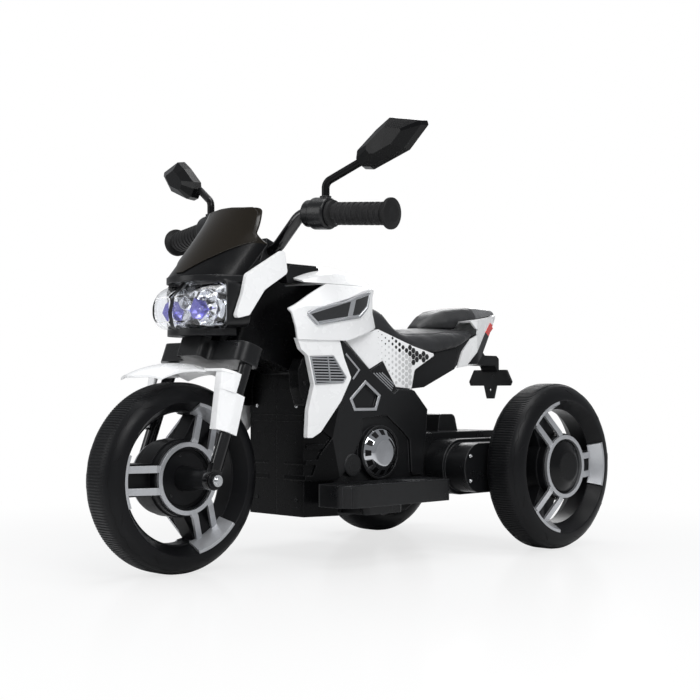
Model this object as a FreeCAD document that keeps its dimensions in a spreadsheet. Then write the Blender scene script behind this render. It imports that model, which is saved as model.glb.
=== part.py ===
import FreeCAD, Part
# Battery ride-on with three wheels, styled as a street motorbike. All sizes are in millimetres.
# +X points forward, +Y to the rider's left and +Z up, from a point on the ground under the body.
# Pieces that steer are drawn upright in the fork frame, whose Z axis is the raked steering axis.
import math
import os
import re
from types import SimpleNamespace

from FreeCAD import Placement, Rotation, Vector

SIZES = {
    # Stance
    "wheelbase": 690,
    "rear_track": 440,
    "rake": 20.4,
    "steer_limit": 25,
    # Clearances and walls
    "seam": 0.4,
    "shaft_gap": 0.06,
    "turn_gap": 2.5,
    "wall": 3.5,
    # Wheels
    "wheel_radius": 150,
    "wheel_width": 78,
    "shoulder_radius": 27,
    "rim_radius": 120.5,
    "barrel_fall": 14.5,
    "web_width": 32,
    "hub_width": 62,
    "drum_radius": 60,
    "opening_lip": 2,
    "cap_radius": 47,
    "cap_depth": 5,
    "spoke_width": 50,
    "trim_ring_inner": 50,
    "trim_ring_outer": 57,
    "trim_ring_height": 6,
    "trim_bar_offset": 17,
    "trim_bar_width": 11,
    "trim_bar_height": 6,
    "trim_arc_span": 40,
    "trim_arc_width": 5,
    "hub_cap_rise": 17,
    # Fork and front axle
    "fork_spacing": 190,
    "fork_radius": 10.5,
    "lug_radius": 15,
    "lug_width": 12,
    "front_axle_radius": 5,
    "spacer_radius": 20,
    "washer_radius": 13,
    "nut_radius": 9,
    # Fender
    "fender_clear": 28,
    "fender_half_width": 54,
    "fender_droop": 11,
    "fender_front_angle": 62,
    "fender_span": 52,
    "guard_foot": 76,
    "guard_shoulder": 138,
    "guard_foot_reach": 21,
    "guard_top_reach": 41,
    # Yokes and stem, measured up the steering axis from the front axle
    "yoke_base": 190,
    "yoke_height": 32,
    "yoke_front": 24,
    "yoke_rear": 20,
    "yoke_end": 14,
    "tongue_reach": 46,
    "tongue_half_width": 30,
    "stem_radius": 13,
    "head_radius": 27,
    "head_length": 137,
    "crown_height": 14,
    "crown_tail": 26,
    "bar_lift": 44,
    # Headlight and cowl, measured from the lamp point on the steering axis
    "lamp_height": 240,
    "housing_half_width": 82,
    "housing_depth": 44,
    "housing_base": 10,
    "housing_height": 78,
    "lens_reach": 92,
    "lens_wall": 2.5,
    "brow_reach": 81,
    "brow_height": 10,
    "chin_height": 11,
    "spine_half_width": 5,
    "screen_height": 118,
    "screen_wall": 3,
    "cowl_width": 7.5,
    # Handlebar, measured from the bar point on the steering axis
    "bar_radius": 10,
    "bar_back": 27,
    "bar_drop": 11,
    "bar_clamp_half": 50,
    "bar_shoulder": 98,
    "bar_rise": 45,
    "bar_end": 280,
    "bar_bend": 30,
    "grip_radius": 16.5,
    "grip_rib": 2,
    "grip_flange_radius": 25,
    "grip_start": 160,
    "switch_start": 112,
    "switch_radius": 26,
    "mirror_place": 148,
    "stalk_radius": 6.5,
    "stalk_pin_radius": 5,
    "stalk_pin_length": 10,
    "stalk_height": 22,
    "mirror_turn": 10,
    "mirror_depth": 26,
    "mirror_back": 12,
    "horn_radius": 6,
    # Body
    "body_front": 130,
    "body_floor": 77,
    "body_rear": 139,
    "body_half_width": 88,
    "body_nose_half": 68,
    "spine_width": 92,
    "rear_step": 16,
    "relief": 6,
    "neck_round": 28,
    "boss_radius": 19,
    "deck_height": 373,
    "dome_radius": 42,
    "dome_rise": 20,
    "dome_ring_width": 4.5,
    "dome_x": -24,
    # Covers
    "cover_width": 14,
    "wing_width": 9,
    "hem_drop": 25,
    "badge_rise": 2.2,
    "grille_slats": 9,
    "grille_slat_width": 2.2,
    "grille_rise": 2.5,
    "dash_front": 148,
    "dash_gap": 15.5638,
    "dash_half_width": 44,
    "dash_top": 498,
    "rocker_width": 14,
    "rocker_length": 22,
    "rocker_place": 17,
    "rocker_pin_radius": 2,
    # Seat and tail
    "seat_crown": 404,
    "seat_tuck": 4,
    "pillion_half_width": 58,
    "pillion_height": 48,
    "tail_skin": 5,
    "tail_end": 446,
    "lamp_depth": 6,
    "plate_half_width": 55,
    "plate_thickness": 4,
    "plate_hole_radius": 2.5,
    # Footrests and pedal
    "step_front": 131,
    "step_rear": 124,
    "step_out": 172,
    "step_top": 134,
    "step_depth": 37,
    "step_corner": 26,
    "pedal_length": 76,
    "pedal_width": 52,
    "pedal_thickness": 5,
    "pedal_rise": 10,
    "pedal_pin_radius": 2.5,
    "pedal_x": 18,
    # Rear axle, gearboxes and battery
    "rear_axle_radius": 6,
    "beam_half_width": 84,
    "beam_top": 212,
    "hump_top": 244,
    "gearbox_radius": 50,
    "gearbox_width": 92,
    "gearbox_step": 6,
    "gearbox_front": 150,
    "battery_length": 151,
    "battery_width": 65,
    "battery_height": 94,
    "charge_radius": 2.8,
    "charge_depth": 11,
}

document = FreeCAD.newDocument("ride_on_motorbike")
sheet = document.addObject("Spreadsheet::Sheet", "Sizes")
for row, (alias, value) in enumerate(SIZES.items(), start=1):
    sheet.set(f"A{row}", alias)
    sheet.set(f"B{row}", str(value))
    sheet.setAlias(f"B{row}", alias)
document.recompute()
S = SimpleNamespace(**{alias: float(getattr(sheet, alias)) for alias in SIZES})

# Frames that several pieces share
LEAN = math.radians(S.rake)
CROWN_BASE = S.yoke_base + S.yoke_height + 2 * S.turn_gap + S.head_length
CROWN_BACK = (S.bar_back + S.crown_tail) * math.cos(LEAN) + (CROWN_BASE + S.crown_height) * math.sin(LEAN)
FRONT = Vector(S.dash_front + S.dash_gap + CROWN_BACK, 0, S.wheel_radius)
REAR = Vector(FRONT.x - S.wheelbase, 0, S.wheel_radius)
FORK = Placement(FRONT, Rotation(Vector(0, 1, 0), -S.rake))
LAMP = Placement(FORK.multVec(Vector(0, 0, S.lamp_height)), Rotation())
BAR = Placement(FORK.multVec(Vector(0, 0, CROWN_BASE + S.bar_lift)), Rotation())
REAR_HALF = S.body_half_width - S.rear_step
nodes = []


def node(item, label):
    """Name a finished sub-part and keep it for writing."""
    item.Label = label
    nodes.append(item)
    return item


def bound(text):
    """An expression in which each size's name refers to its cell."""
    def cell(word):
        return f"Sizes.{word.group()}" if word.group() in SIZES else word.group()
    return re.sub(r"[a-z_]\w*", cell, str(text))


def origin_item(body, role):
    return next(item for item in body.Origin.OriginFeatures if item.Role == role)


def new_sketch(body, name, axis, level):
    """A sketch square to an axis at a level along it."""
    sketch = body.newObject("Sketcher::SketchObject", name)
    sketch.AttachmentSupport = [(origin_item(body,
        {"x": "YZ_Plane", "y": "XZ_Plane", "z": "XY_Plane"}[axis]), "")]
    sketch.MapMode = "FlatFace"
    sketch.setExpression("AttachmentOffset.Base.z", bound(f"-({level})" if axis == "y" else level))
    return sketch


def corner_arc(before, corner, after, radius):
    """The two tangent points and the middle of the arc that rounds a corner."""
    back = (before - corner).normalize()
    ahead = (after - corner).normalize()
    half = back.getAngle(ahead) / 2
    reach = radius / math.tan(half)
    centre = corner + (back + ahead).normalize() * (radius / math.sin(half))
    middle = centre + (corner - centre).normalize() * radius
    return corner + back * reach, middle, corner + ahead * reach


def outline_edges(corners):
    """Lines and arcs of a closed outline; a third number rounds its corner."""
    points = [Vector(corner[0], corner[1], 0) for corner in corners]
    edges = []
    ends = []
    for index, corner in enumerate(corners):
        if len(corner) == 3:
            after = points[(index + 1) % len(points)]
            first, middle, last = corner_arc(points[index - 1], points[index], after, corner[2])
            edges.append(Part.Arc(first, middle, last))
            ends.append((first, last))
        else:
            ends.append((points[index], points[index]))
    for index, (_, leave) in enumerate(ends):
        arrive = ends[(index + 1) % len(ends)][0]
        if leave.distanceToPoint(arrive) > 1e-6:
            edges.append(Part.LineSegment(leave, arrive))
    return edges


def draw(sketch, edges):
    for edge in edges:
        sketch.addGeometry(edge)


def pad(body, name, axis, edges, start, stop):
    sketch = new_sketch(body, name + "_sketch", axis, stop if axis == "y" else start)
    draw(sketch, edges)
    feature = body.newObject("PartDesign::Pad", name)
    feature.Profile = sketch
    feature.setExpression("Length", bound(f"({stop}) - ({start})"))
    return feature


def prism(name, axis, corners, start, stop):
    """A body padded from one outline, from a start to a stop along an axis."""
    body = document.addObject("PartDesign::Body", name)
    pad(body, name + "_pad", axis, outline_edges(corners), start, stop)
    return body


def loft(name, axis, stations, ruled=False):
    """A body through sections given as (level, edges)."""
    body = document.addObject("PartDesign::Body", name)
    sketches = []
    for number, (level, edges) in enumerate(stations):
        sketch = new_sketch(body, f"{name}_section{number}", axis, level)
        draw(sketch, edges)
        sketches.append(sketch)
    feature = body.newObject("PartDesign::AdditiveLoft", name + "_loft")
    feature.Profile = sketches[0]
    feature.Sections = sketches[1:]
    feature.Ruled = ruled
    return body


def revolve(name, corners):
    """A body turned about its Y axis from an outline of (radius, y) corners."""
    body = document.addObject("PartDesign::Body", name)
    sketch = new_sketch(body, name + "_section", "z", 0)
    draw(sketch, outline_edges(corners))
    feature = body.newObject("PartDesign::Revolution", name + "_turned")
    feature.Profile = sketch
    feature.ReferenceAxis = (origin_item(body, "Y_Axis"), [""])
    feature.Angle = 360
    return body


def cylinder(name, radius, height, base, axis):
    """A cylinder whose radius and height follow the sheet, from a base point along an axis."""
    item = document.addObject("Part::Cylinder", name)
    item.setExpression("Radius", bound(radius))
    item.setExpression("Height", bound(height))
    item.Placement = Placement(base, Rotation(Vector(0, 0, 1), axis))
    return item


def box(name, length, width, height, corner, frame=Placement()):
    item = document.addObject("Part::Box", name)
    item.setExpression("Length", bound(length))
    item.setExpression("Width", bound(width))
    item.setExpression("Height", bound(height))
    item.Placement = frame.multiply(Placement(corner, Rotation()))
    return item


def join(name, items):
    item = document.addObject("Part::MultiFuse", name)
    item.Shapes = items
    item.Refine = True
    return item


def cut(name, base, tools):
    item = document.addObject("Part::Cut", name)
    item.Base = base
    item.Tool = tools[0] if len(tools) == 1 else join(name + "_tools", tools)
    item.Refine = True
    return item


def common(name, items):
    item = document.addObject("Part::MultiCommon", name)
    item.Shapes = items
    item.Refine = True
    return item


def mirrored(name, source):
    """The same piece on the rider's right."""
    item = document.addObject("Part::Mirroring", name)
    item.Source = source
    item.Normal = Vector(0, 1, 0)
    return item


def both_sides(name, left):
    """Name a left piece and its mirrored right piece."""
    node(left, name + "_left")
    return node(mirrored(name + "_mirrored", left), name + "_right")


def inset(corners, distance):
    """A closed outline drawn in by a distance, or out by a negative one."""
    points = [Vector(corner[0], corner[1], 0) for corner in corners]
    area = sum(a.x * b.y - b.x * a.y for a, b in zip(points, points[1:] + points[:1]))
    turn = 1 if area > 0 else -1
    moved = []
    for index, point in enumerate(points):
        back = (point - points[index - 1]).normalize()
        ahead = (points[(index + 1) % len(points)] - point).normalize()
        normal_back = Vector(-back.y, back.x, 0) * turn
        normal_ahead = Vector(-ahead.y, ahead.x, 0) * turn
        bisector = normal_back + normal_ahead
        moved.append(point + bisector * (2 * distance / bisector.dot(bisector)))
    return [(point.x, point.y) for point in moved]


def side(point):
    """The (x, z) of a point in the side view."""
    return point.x, point.z


def on_fork(forward, along):
    """The side-view place of a point of the fork frame."""
    return side(FORK.multVec(Vector(forward, 0, along)))


def crescent(edge_x, middle_x, half_width, thickness):
    """Two arcs across the machine, bulging forward, with a wall between them."""
    outer = [Vector(edge_x, -half_width, 0), Vector(middle_x, 0, 0), Vector(edge_x, half_width, 0)]
    inner = [point - Vector(thickness, 0, 0) for point in outer]
    return [Part.Arc(*outer), Part.LineSegment(outer[2], inner[2]),
        Part.Arc(inner[2], inner[1], inner[0]), Part.LineSegment(inner[0], outer[0])]


def cushion_section(half_width, base, crown):
    """A padded section: flat base, drawn-in sides and a crowned top."""
    rise = crown - base
    foot = Vector(0.86 * half_width, base, 0)
    waist = Vector(half_width, base + 0.45 * rise, 0)
    shoulder = Vector(0.84 * half_width, base + 0.82 * rise, 0)
    def left(point):
        return Vector(-point.x, point.y, 0)
    return [Part.LineSegment(left(foot), foot), Part.Arc(foot, waist, shoulder),
        Part.Arc(shoulder, Vector(0, crown, 0), left(shoulder)),
        Part.Arc(left(shoulder), left(waist), left(foot))]


def pad_section(half_width, base, crown):
    """A creased section: skirts that spread up to a crease, then flanks that close to a flat top."""
    rise = crown - base
    crease = base + 0.42 * rise
    top = 0.66 * half_width
    foot = 0.86 * half_width
    ease = 0.1 * rise
    return outline_edges([(-foot, base), (foot, base), (half_width, crease, ease), (top, crown, ease),
        (-top, crown, ease), (-half_width, crease, ease)])


def bent_wire(points, radius):
    """Straight runs joined by tangent arcs."""
    edges = []
    start = points[0]
    for before, corner, after in zip(points, points[1:], points[2:]):
        first, middle, last = corner_arc(before, corner, after, radius)
        edges.append(Part.LineSegment(start, first).toShape())
        edges.append(Part.Arc(first, middle, last).toShape())
        start = last
    edges.append(Part.LineSegment(start, points[-1]).toShape())
    return Part.Wire(edges)


def bent_tube(name, points, bend, radius, frame):
    """A round bar along a bent wire, in its own frame."""
    wire = bent_wire(points, bend)
    section = Part.Wire([Part.Circle(points[0], points[1] - points[0], radius).toShape()])
    item = document.addObject("Part::Feature", name)
    item.Shape = wire.makePipeShell([section], True, False)
    item.Placement = frame
    return item


# Wheels
def wheel_moulding(name, axle_radius):
    """Blow-moulded tyre, coned barrel, three spokes and hub drum in one piece, about the Y axis."""
    half = S.wheel_width / 2
    web = S.web_width / 2
    hub = S.hub_width / 2
    cap = hub - S.cap_depth
    bore = axle_radius + S.shaft_gap
    barrel = S.rim_radius - S.barrel_fall
    body = revolve(name, [(bore, -cap), (S.cap_radius, -cap), (S.cap_radius, -hub),
        (S.drum_radius, -hub, 2), (S.drum_radius, -web), (barrel, -web), (S.rim_radius, -half, 2),
        (S.wheel_radius, -half, S.shoulder_radius), (S.wheel_radius, half, S.shoulder_radius),
        (S.rim_radius, half, 2), (barrel, web), (S.drum_radius, web), (S.drum_radius, hub, 2),
        (S.cap_radius, hub), (S.cap_radius, cap), (bore, cap)])
    inner = S.drum_radius + S.opening_lip
    outer = barrel - S.opening_lip
    inner_turn = math.asin(S.spoke_width / 2 / inner)
    outer_turn = math.asin(S.spoke_width / 2 / outer)
    third = 2 * math.pi / 3

    def polar(radius, turn):
        return Vector(radius * math.cos(turn), radius * math.sin(turn), 0)

    corners = [polar(inner, inner_turn), polar(outer, outer_turn), polar(outer, third - outer_turn),
        polar(inner, third - inner_turn)]
    sketch = new_sketch(body, name + "_opening", "y", 0)
    draw(sketch, [Part.LineSegment(corners[0], corners[1]),
        Part.Arc(corners[1], polar(outer, third / 2), corners[2]),
        Part.LineSegment(corners[2], corners[3]),
        Part.Arc(corners[3], polar(inner, third / 2), corners[0])])
    opening = body.newObject("PartDesign::Pocket", name + "_open")
    opening.Profile = sketch
    opening.Type = "ThroughAll"
    opening.Midplane = True
    body.Tip = thirds(body, name + "_spokes", [opening])
    return body


def thirds(body, name, features):
    """Features repeated three times about a wheel's axle."""
    pattern = body.newObject("PartDesign::PolarPattern", name)
    pattern.Originals = features
    pattern.Axis = (origin_item(body, "Y_Axis"), [""])
    pattern.Angle = 360
    pattern.Occurrences = 3
    return pattern


def wheel_trim(name):
    """Silver ring on the drum, and three pairs of falling spokes with panels on the coned barrel."""
    body = document.addObject("PartDesign::Body", name)
    face = "hub_width / 2"
    zero = Vector(0, 0, 0)
    up = Vector(0, 0, 1)
    ring = [Part.Circle(zero, up, S.trim_ring_outer), Part.Circle(zero, up, S.trim_ring_inner)]
    pad(body, name + "_ring", "y", ring, face, face + " + trim_ring_height")
    hub = S.hub_width / 2
    web = S.web_width / 2
    half = S.wheel_width / 2
    barrel = S.rim_radius - S.barrel_fall - S.seam
    lip = S.rim_radius - S.seam
    rise = S.trim_bar_height
    start = S.trim_ring_inner + 3
    end = math.sqrt((barrel - 1) ** 2 - (S.trim_bar_offset + S.trim_bar_width / 2) ** 2)
    spoke = outline_edges([(start, hub), (S.drum_radius, hub), (end - rise, web), (end, web),
        (end, web + rise / 2), (S.drum_radius, hub + rise - 1), (start, hub + rise - 1)])
    features = []
    for number, place in enumerate((-1, 1)):
        middle = f"{place} * trim_bar_offset"
        features.append(pad(body, f"{name}_bar{number}", "z", spoke, middle + " - trim_bar_width / 2",
            middle + " + trim_bar_width / 2"))
    sketch = new_sketch(body, name + "_panel_section", "z", 0)
    draw(sketch, outline_edges([(barrel, web), (lip, half), (lip - S.trim_arc_width, half),
        (barrel - S.trim_arc_width + 1, web)]))
    panel = body.newObject("PartDesign::Revolution", name + "_panel")
    panel.Profile = sketch
    panel.ReferenceAxis = (origin_item(body, "Y_Axis"), [""])
    panel.setExpression("Angle", bound("trim_arc_span"))
    panel.Midplane = True
    body.Tip = thirds(body, name + "_three", features + [panel])
    return body


def front_wheel():
    place = Placement(FRONT, Rotation())
    tyre = node(wheel_moulding("front_moulding", S.front_axle_radius), "front_tyre")
    tyre.Placement = place
    trim = wheel_trim("front_trim")
    trim.Placement = place
    both_sides("front_wheel_trim", trim)


def rear_wheels():
    place = Placement(REAR + Vector(0, S.rear_track / 2, 0), Rotation(Vector(0, 1, 0), 180))
    tyre = wheel_moulding("rear_moulding", S.rear_axle_radius)
    tyre.Placement = place
    both_sides("rear_tyre", tyre)
    trim = wheel_trim("rear_trim")
    trim.Placement = place
    both_sides("rear_wheel_trim", trim)
    seat = S.hub_width / 2 - S.cap_depth
    rim = S.cap_radius - S.seam
    cap = revolve("hub_cap", [(0, seat), (rim, seat), (rim, seat + S.cap_depth + 2, 3),
        (rim * 0.6, seat + S.hub_cap_rise, 12), (0, seat + S.hub_cap_rise)])
    cap.Placement = place
    both_sides("rear_hub_cap", cap)


# Fork, axle, fender and yokes
def fork_legs():
    y = S.fork_spacing / 2
    foot = S.spacer_radius - 3
    leg = cylinder("leg_tube", "fork_radius", f"yoke_base + yoke_height + 1.5 - {foot}",
        FORK.multVec(Vector(0, y, foot)), FORK.Rotation.multVec(Vector(0, 0, 1)))
    neck = box("leg_neck", "fork_radius * 2", "lug_width", foot + 8,
        Vector(-S.fork_radius, y - S.lug_width / 2, 0), FORK)
    lug = cylinder("leg_lug", "lug_radius", "lug_width", FRONT + Vector(0, y - S.lug_width / 2, 0),
        Vector(0, 1, 0))
    hole = cylinder("leg_hole", "front_axle_radius + shaft_gap", "lug_width + 2",
        FRONT + Vector(0, y - S.lug_width / 2 - 1, 0), Vector(0, 1, 0))
    both_sides("fork", cut("leg", join("leg_solid", [leg, neck, lug]), [hole]))


def front_axle():
    outer = S.fork_spacing / 2 + S.lug_width / 2
    inner = S.fork_spacing / 2 - S.lug_width / 2 - S.seam
    hub = S.hub_width / 2 - S.cap_depth + S.turn_gap / 4
    washer = 2
    nut = 7
    half = [(0, 0), (0, outer + S.seam / 2 + washer + nut + 4),
        (S.front_axle_radius, outer + S.seam / 2 + washer + nut + 4),
        (S.front_axle_radius, outer + S.seam / 2 + washer + nut),
        (S.nut_radius, outer + S.seam / 2 + washer + nut), (S.nut_radius, outer + S.seam / 2 + washer),
        (S.washer_radius, outer + S.seam / 2 + washer), (S.washer_radius, outer + S.seam / 2),
        (S.front_axle_radius, outer + S.seam / 2), (S.front_axle_radius, inner),
        (S.spacer_radius * 0.7, inner), (S.spacer_radius, hub), (S.front_axle_radius, hub),
        (S.front_axle_radius, 0)]
    left = revolve("axle_half", half)
    left.Placement = Placement(FRONT, Rotation())
    node(join("axle_whole", [left, mirrored("axle_half_right", left)]), "front_axle")


def fender():
    outer = S.wheel_radius + S.fender_clear + S.wall
    edge = outer - S.fender_droop
    body = document.addObject("PartDesign::Body", "fender_crown")
    sketch = new_sketch(body, "fender_section", "z", 0)
    arc = [Vector(edge, -S.fender_half_width, 0), Vector(outer, 0, 0), Vector(edge, S.fender_half_width, 0)]
    low = [point - Vector(S.wall, 0, 0) for point in arc]
    draw(sketch, [Part.Arc(*arc), Part.LineSegment(arc[2], low[2]), Part.Arc(low[2], low[1], low[0]),
        Part.LineSegment(low[0], arc[0])])
    turn = body.newObject("PartDesign::Revolution", "fender_sweep")
    turn.Profile = sketch
    turn.ReferenceAxis = (origin_item(body, "Y_Axis"), [""])
    turn.setExpression("Angle", bound("fender_span"))
    turn.Reversed = True
    body.Placement = Placement(FRONT, Rotation(Vector(0, 1, 0), -S.fender_front_angle))
    tip = outer * math.cos(math.radians(S.fender_front_angle))
    beak = prism("fender_beak", "z", [(-outer, -S.fender_half_width - 5),
        (tip - 22, -S.fender_half_width - 5), (tip + 3, 0, 12), (tip - 22, S.fender_half_width + 5),
        (-outer, S.fender_half_width + 5)], 0, "wheel_radius * 2")
    beak.Placement = Placement(FRONT, Rotation())
    crown = common("fender_arch", [body, beak])

    y = S.fork_spacing / 2
    skin = y + S.fork_radius + S.seam + S.wall
    top = edge - 2
    arm_back = S.fork_radius + 2.5

    def guard_section(reach, back, bend):
        return outline_edges([(back, skin), (bend, skin, 8), (reach, y + 2, 8), (reach, y - 15),
            (reach - S.wall, y - 15), (reach - S.wall, y + 0.5, 5), (bend - 1.5, skin - S.wall, 5),
            (back, skin - S.wall)])

    shoulder_share = (S.guard_shoulder - S.guard_foot) / (top - S.guard_foot)
    shoulder_reach = S.guard_foot_reach + (S.guard_top_reach - S.guard_foot_reach) * shoulder_share
    guard = loft("guard", "z", [("guard_foot", guard_section(S.guard_foot_reach, -S.fork_radius, 8)),
        ("guard_shoulder", guard_section(shoulder_reach, -S.fork_radius / 2, 12))])
    arm = loft("guard_arm", "z", [("guard_shoulder - 1", guard_section(shoulder_reach, arm_back, 20)),
        (top, guard_section(S.guard_top_reach, arm_back, 26))])
    plate = prism("guard_plate", "z", [(arm_back, S.fender_half_width - 4),
        (S.guard_top_reach, S.fender_half_width - 4), (S.guard_top_reach, y + 2, 8), (26, skin, 8),
        (arm_back, skin)], top - S.wall - 1, top)
    for item in (guard, arm, plate):
        item.Placement = FORK
    half = join("guard_half", [guard, arm, plate])
    node(join("fender_whole", [crown, half, mirrored("guard_half_right", half)]), "fender")


def yokes():
    y = S.fork_spacing / 2
    end = y + S.yoke_end
    yoke = prism("yoke_block", "z", [(-S.yoke_rear, -end, 14), (S.yoke_front, -end, 18),
        (S.yoke_front, -S.tongue_half_width, 8), (S.tongue_reach, -S.tongue_half_width, 6),
        (S.tongue_reach, S.tongue_half_width, 6), (S.yoke_front, S.tongue_half_width, 8),
        (S.yoke_front, end, 18), (-S.yoke_rear, end, 14)], "yoke_base", "yoke_base + yoke_height")
    yoke.Placement = FORK
    up = FORK.Rotation.multVec(Vector(0, 0, 1))
    yoke_top = S.yoke_base + S.yoke_height
    crown_base = CROWN_BASE
    holes = [cylinder(f"yoke_hole{number}", "fork_radius + seam / 2", "yoke_height + 2",
        FORK.multVec(Vector(0, place, S.yoke_base - 1)), up) for number, place in enumerate((-y, y))]
    stem = cylinder("stem_bar", "stem_radius", f"{crown_base - yoke_top} + crown_height + 8",
        FORK.multVec(Vector(0, 0, yoke_top)), up)
    node(join("stem_whole", [cut("yoke_bored", yoke, holes), stem]), "steering_stem")

    crown = prism("crown_plate", "z", [(-S.bar_back - S.crown_tail, -S.bar_clamp_half + 8, 10),
        (8, -S.bar_clamp_half + 8, 20), (26, 0, 20), (8, S.bar_clamp_half - 8, 20),
        (-S.bar_back - S.crown_tail, S.bar_clamp_half - 8, 10)], crown_base,
        f"{crown_base} + crown_height")
    crown.Placement = FORK
    bar_centre = BAR.multVec(Vector(-S.bar_back, 0, -S.bar_drop))
    seat = FORK.inverse().multVec(bar_centre)
    posts = [box(f"bar_post{number}", "bar_radius * 3", 18, seat.z + S.bar_radius + 5 - crown_base,
        Vector(seat.x - 1.5 * S.bar_radius, place - 9, crown_base),
        FORK) for number, place in enumerate((-28, 28))]
    stem_hole = cylinder("crown_hole", "stem_radius + shaft_gap", "crown_height + 2",
        FORK.multVec(Vector(0, 0, crown_base - 1)), up)
    bar_hole = cylinder("bar_hole", "bar_radius + shaft_gap", 200, bar_centre - Vector(0, 100, 0),
        Vector(0, 1, 0))
    node(cut("crown_bored", join("crown_solid", [crown] + posts), [stem_hole, bar_hole]), "upper_yoke")


# Headlight, screen and cowl
def lamp_section(half_width, low, high, radius):
    return outline_edges([(-half_width, low, radius), (half_width, low, radius),
        (half_width, high, radius), (-half_width, high, radius)])


def arc_plate(name, edge_x, reach, half_width, start, stop):
    """A flat plate with a bowed front edge."""
    body = document.addObject("PartDesign::Body", name)
    arc = [Vector(edge_x, -half_width, 0), Vector(reach, 0, 0), Vector(edge_x, half_width, 0)]
    pad(body, name + "_pad", "z", [Part.Arc(*arc), Part.LineSegment(arc[2], arc[0])], start, stop)
    body.Placement = LAMP
    return body


def headlight():
    base = S.housing_base
    top = base + S.housing_height
    front = S.housing_depth - 3
    half = S.housing_half_width
    shell = loft("housing_shell", "x", [(-3, lamp_section(half, base + 4, top + 2, 14)),
        (front, lamp_section(half - 3, base, top, 12))])
    hollow = loft("housing_hollow", "x",
        [(-4, lamp_section(half - S.wall, base + 4 + S.wall, top + 2 - S.wall, 10)),
        (front + 1, lamp_section(half - 3 - S.wall, base + S.wall, top - S.wall, 9))])
    for item in (shell, hollow):
        item.Placement = LAMP
    brow = arc_plate("brow", 6, S.brow_reach, half - S.seam, top - 3, f"{top - 3} + brow_height")
    chin = arc_plate("chin", 14, S.lens_reach - 10, half - 14, f"{base} - chin_height + 1", base + 1)
    spine = prism("lamp_spine", "y", [(front - 4, base), (S.lens_reach - 4, base, 8),
        (S.lens_reach + 2, base + 26, 14), (S.lens_reach - 4, base + 48, 14),
        (S.brow_reach - 14, top - 2), (front - 4, top - 2)], "-spine_half_width", "spine_half_width")
    spine.Placement = LAMP
    spine_hollow = prism("lamp_spine_hollow", "y",
        [(front - 12, base + 4), (front + 8, base + 4), (front + 8, top - 6), (front - 12, top - 6)],
        "-spine_half_width - 1", "spine_half_width + 1")
    spine_hollow.Placement = LAMP
    leg_length = 18
    leg = box("lamp_leg", "tongue_reach - head_radius - 3", "tongue_half_width * 2 - 10", leg_length,
        Vector(S.head_radius, 5 - S.tongue_half_width, S.yoke_base + S.yoke_height + S.seam), FORK)
    head_room = cylinder("head_room", "head_radius + turn_gap", 240,
        FORK.multVec(Vector(0, 0, S.yoke_base)), FORK.Rotation.multVec(Vector(0, 0, 1)))
    reach = S.spine_width / 2 + S.turn_gap
    swing = math.radians(S.steer_limit + 1)
    corner = (reach * math.sin(swing) + S.turn_gap, reach * math.cos(swing))
    back = (corner[0] - 80 * math.cos(swing), corner[1] + 80 * math.sin(swing))
    neck_room = prism("neck_room", "z", [corner, back, (back[0], -back[1]), (corner[0], -corner[1])],
        "yoke_base", "yoke_base + 240")
    neck_room.Placement = FORK
    bucket = cut("bucket", shell, [hollow])
    solid = join("housing_solid", [bucket, brow, chin, cut("spine_open", spine, [spine_hollow]), leg])
    node(cut("housing_whole", solid, [head_room, neck_room]), "headlight_housing")

    gap = S.seam
    face = front + gap
    def lens_form(name, skin):
        return loft(name, "x", [(face if skin == 0 else face - 1,
            lamp_section(half - 4 - skin, base + 2 + gap + skin, top - 4 - gap - skin, 20 - skin)),
            (S.lens_reach - 22, lamp_section(half - 12 - skin, base + 2 + gap + skin, top - 12 - skin,
            24 - skin)), (S.lens_reach - skin,
            lamp_section(half - 33 - skin, base + 10 + skin, base + 52 - skin, 19 - skin))])
    outer = lens_form("lens_outer", 0)
    inner = lens_form("lens_inner", S.lens_wall)
    slot = box("lens_slot", 200, "spine_half_width * 2 + seam * 2", 200,
        Vector(-50, -S.spine_half_width - gap, -50), LAMP)
    for item in (outer, inner):
        item.Placement = LAMP
    node(cut("lens_lobes", outer, [inner, slot]), "headlight_lens")

    plate_x = front - 12
    plate = loft("reflector_plate", "x",
        [(plate_x, lamp_section(half - 3 - S.wall - 1.2, base + S.wall + 2, top - S.wall - 1.5, 9)),
        (plate_x + 2, lamp_section(half - 3 - S.wall - 1.2, base + S.wall + 2, top - S.wall - 1.5, 9))])
    plate.Placement = LAMP
    bowls = []
    middle = base + 34
    for number, place in enumerate((-39, 39)):
        spot = LAMP.multVec(Vector(plate_x + 2, place, middle))
        bowl = revolve(f"bowl{number}", [(11, 0), (22, 0), (30, 20), (28, 20), (20.5, 2), (11, 2)])
        bowl.Placement = Placement(spot, Rotation(Vector(0, 1, 0), Vector(1, 0, 0)))
        lamp = revolve(f"lamp{number}", [(0, 0), (13, 0), (13, 9, 3), (6, 15, 5), (0, 16)])
        lamp.Placement = Placement(spot, Rotation(Vector(0, 1, 0), Vector(1, 0, 0)))
        bowls += [bowl, lamp]
    node(join("reflector_whole", [plate] + bowls), "headlight_reflector")


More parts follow.
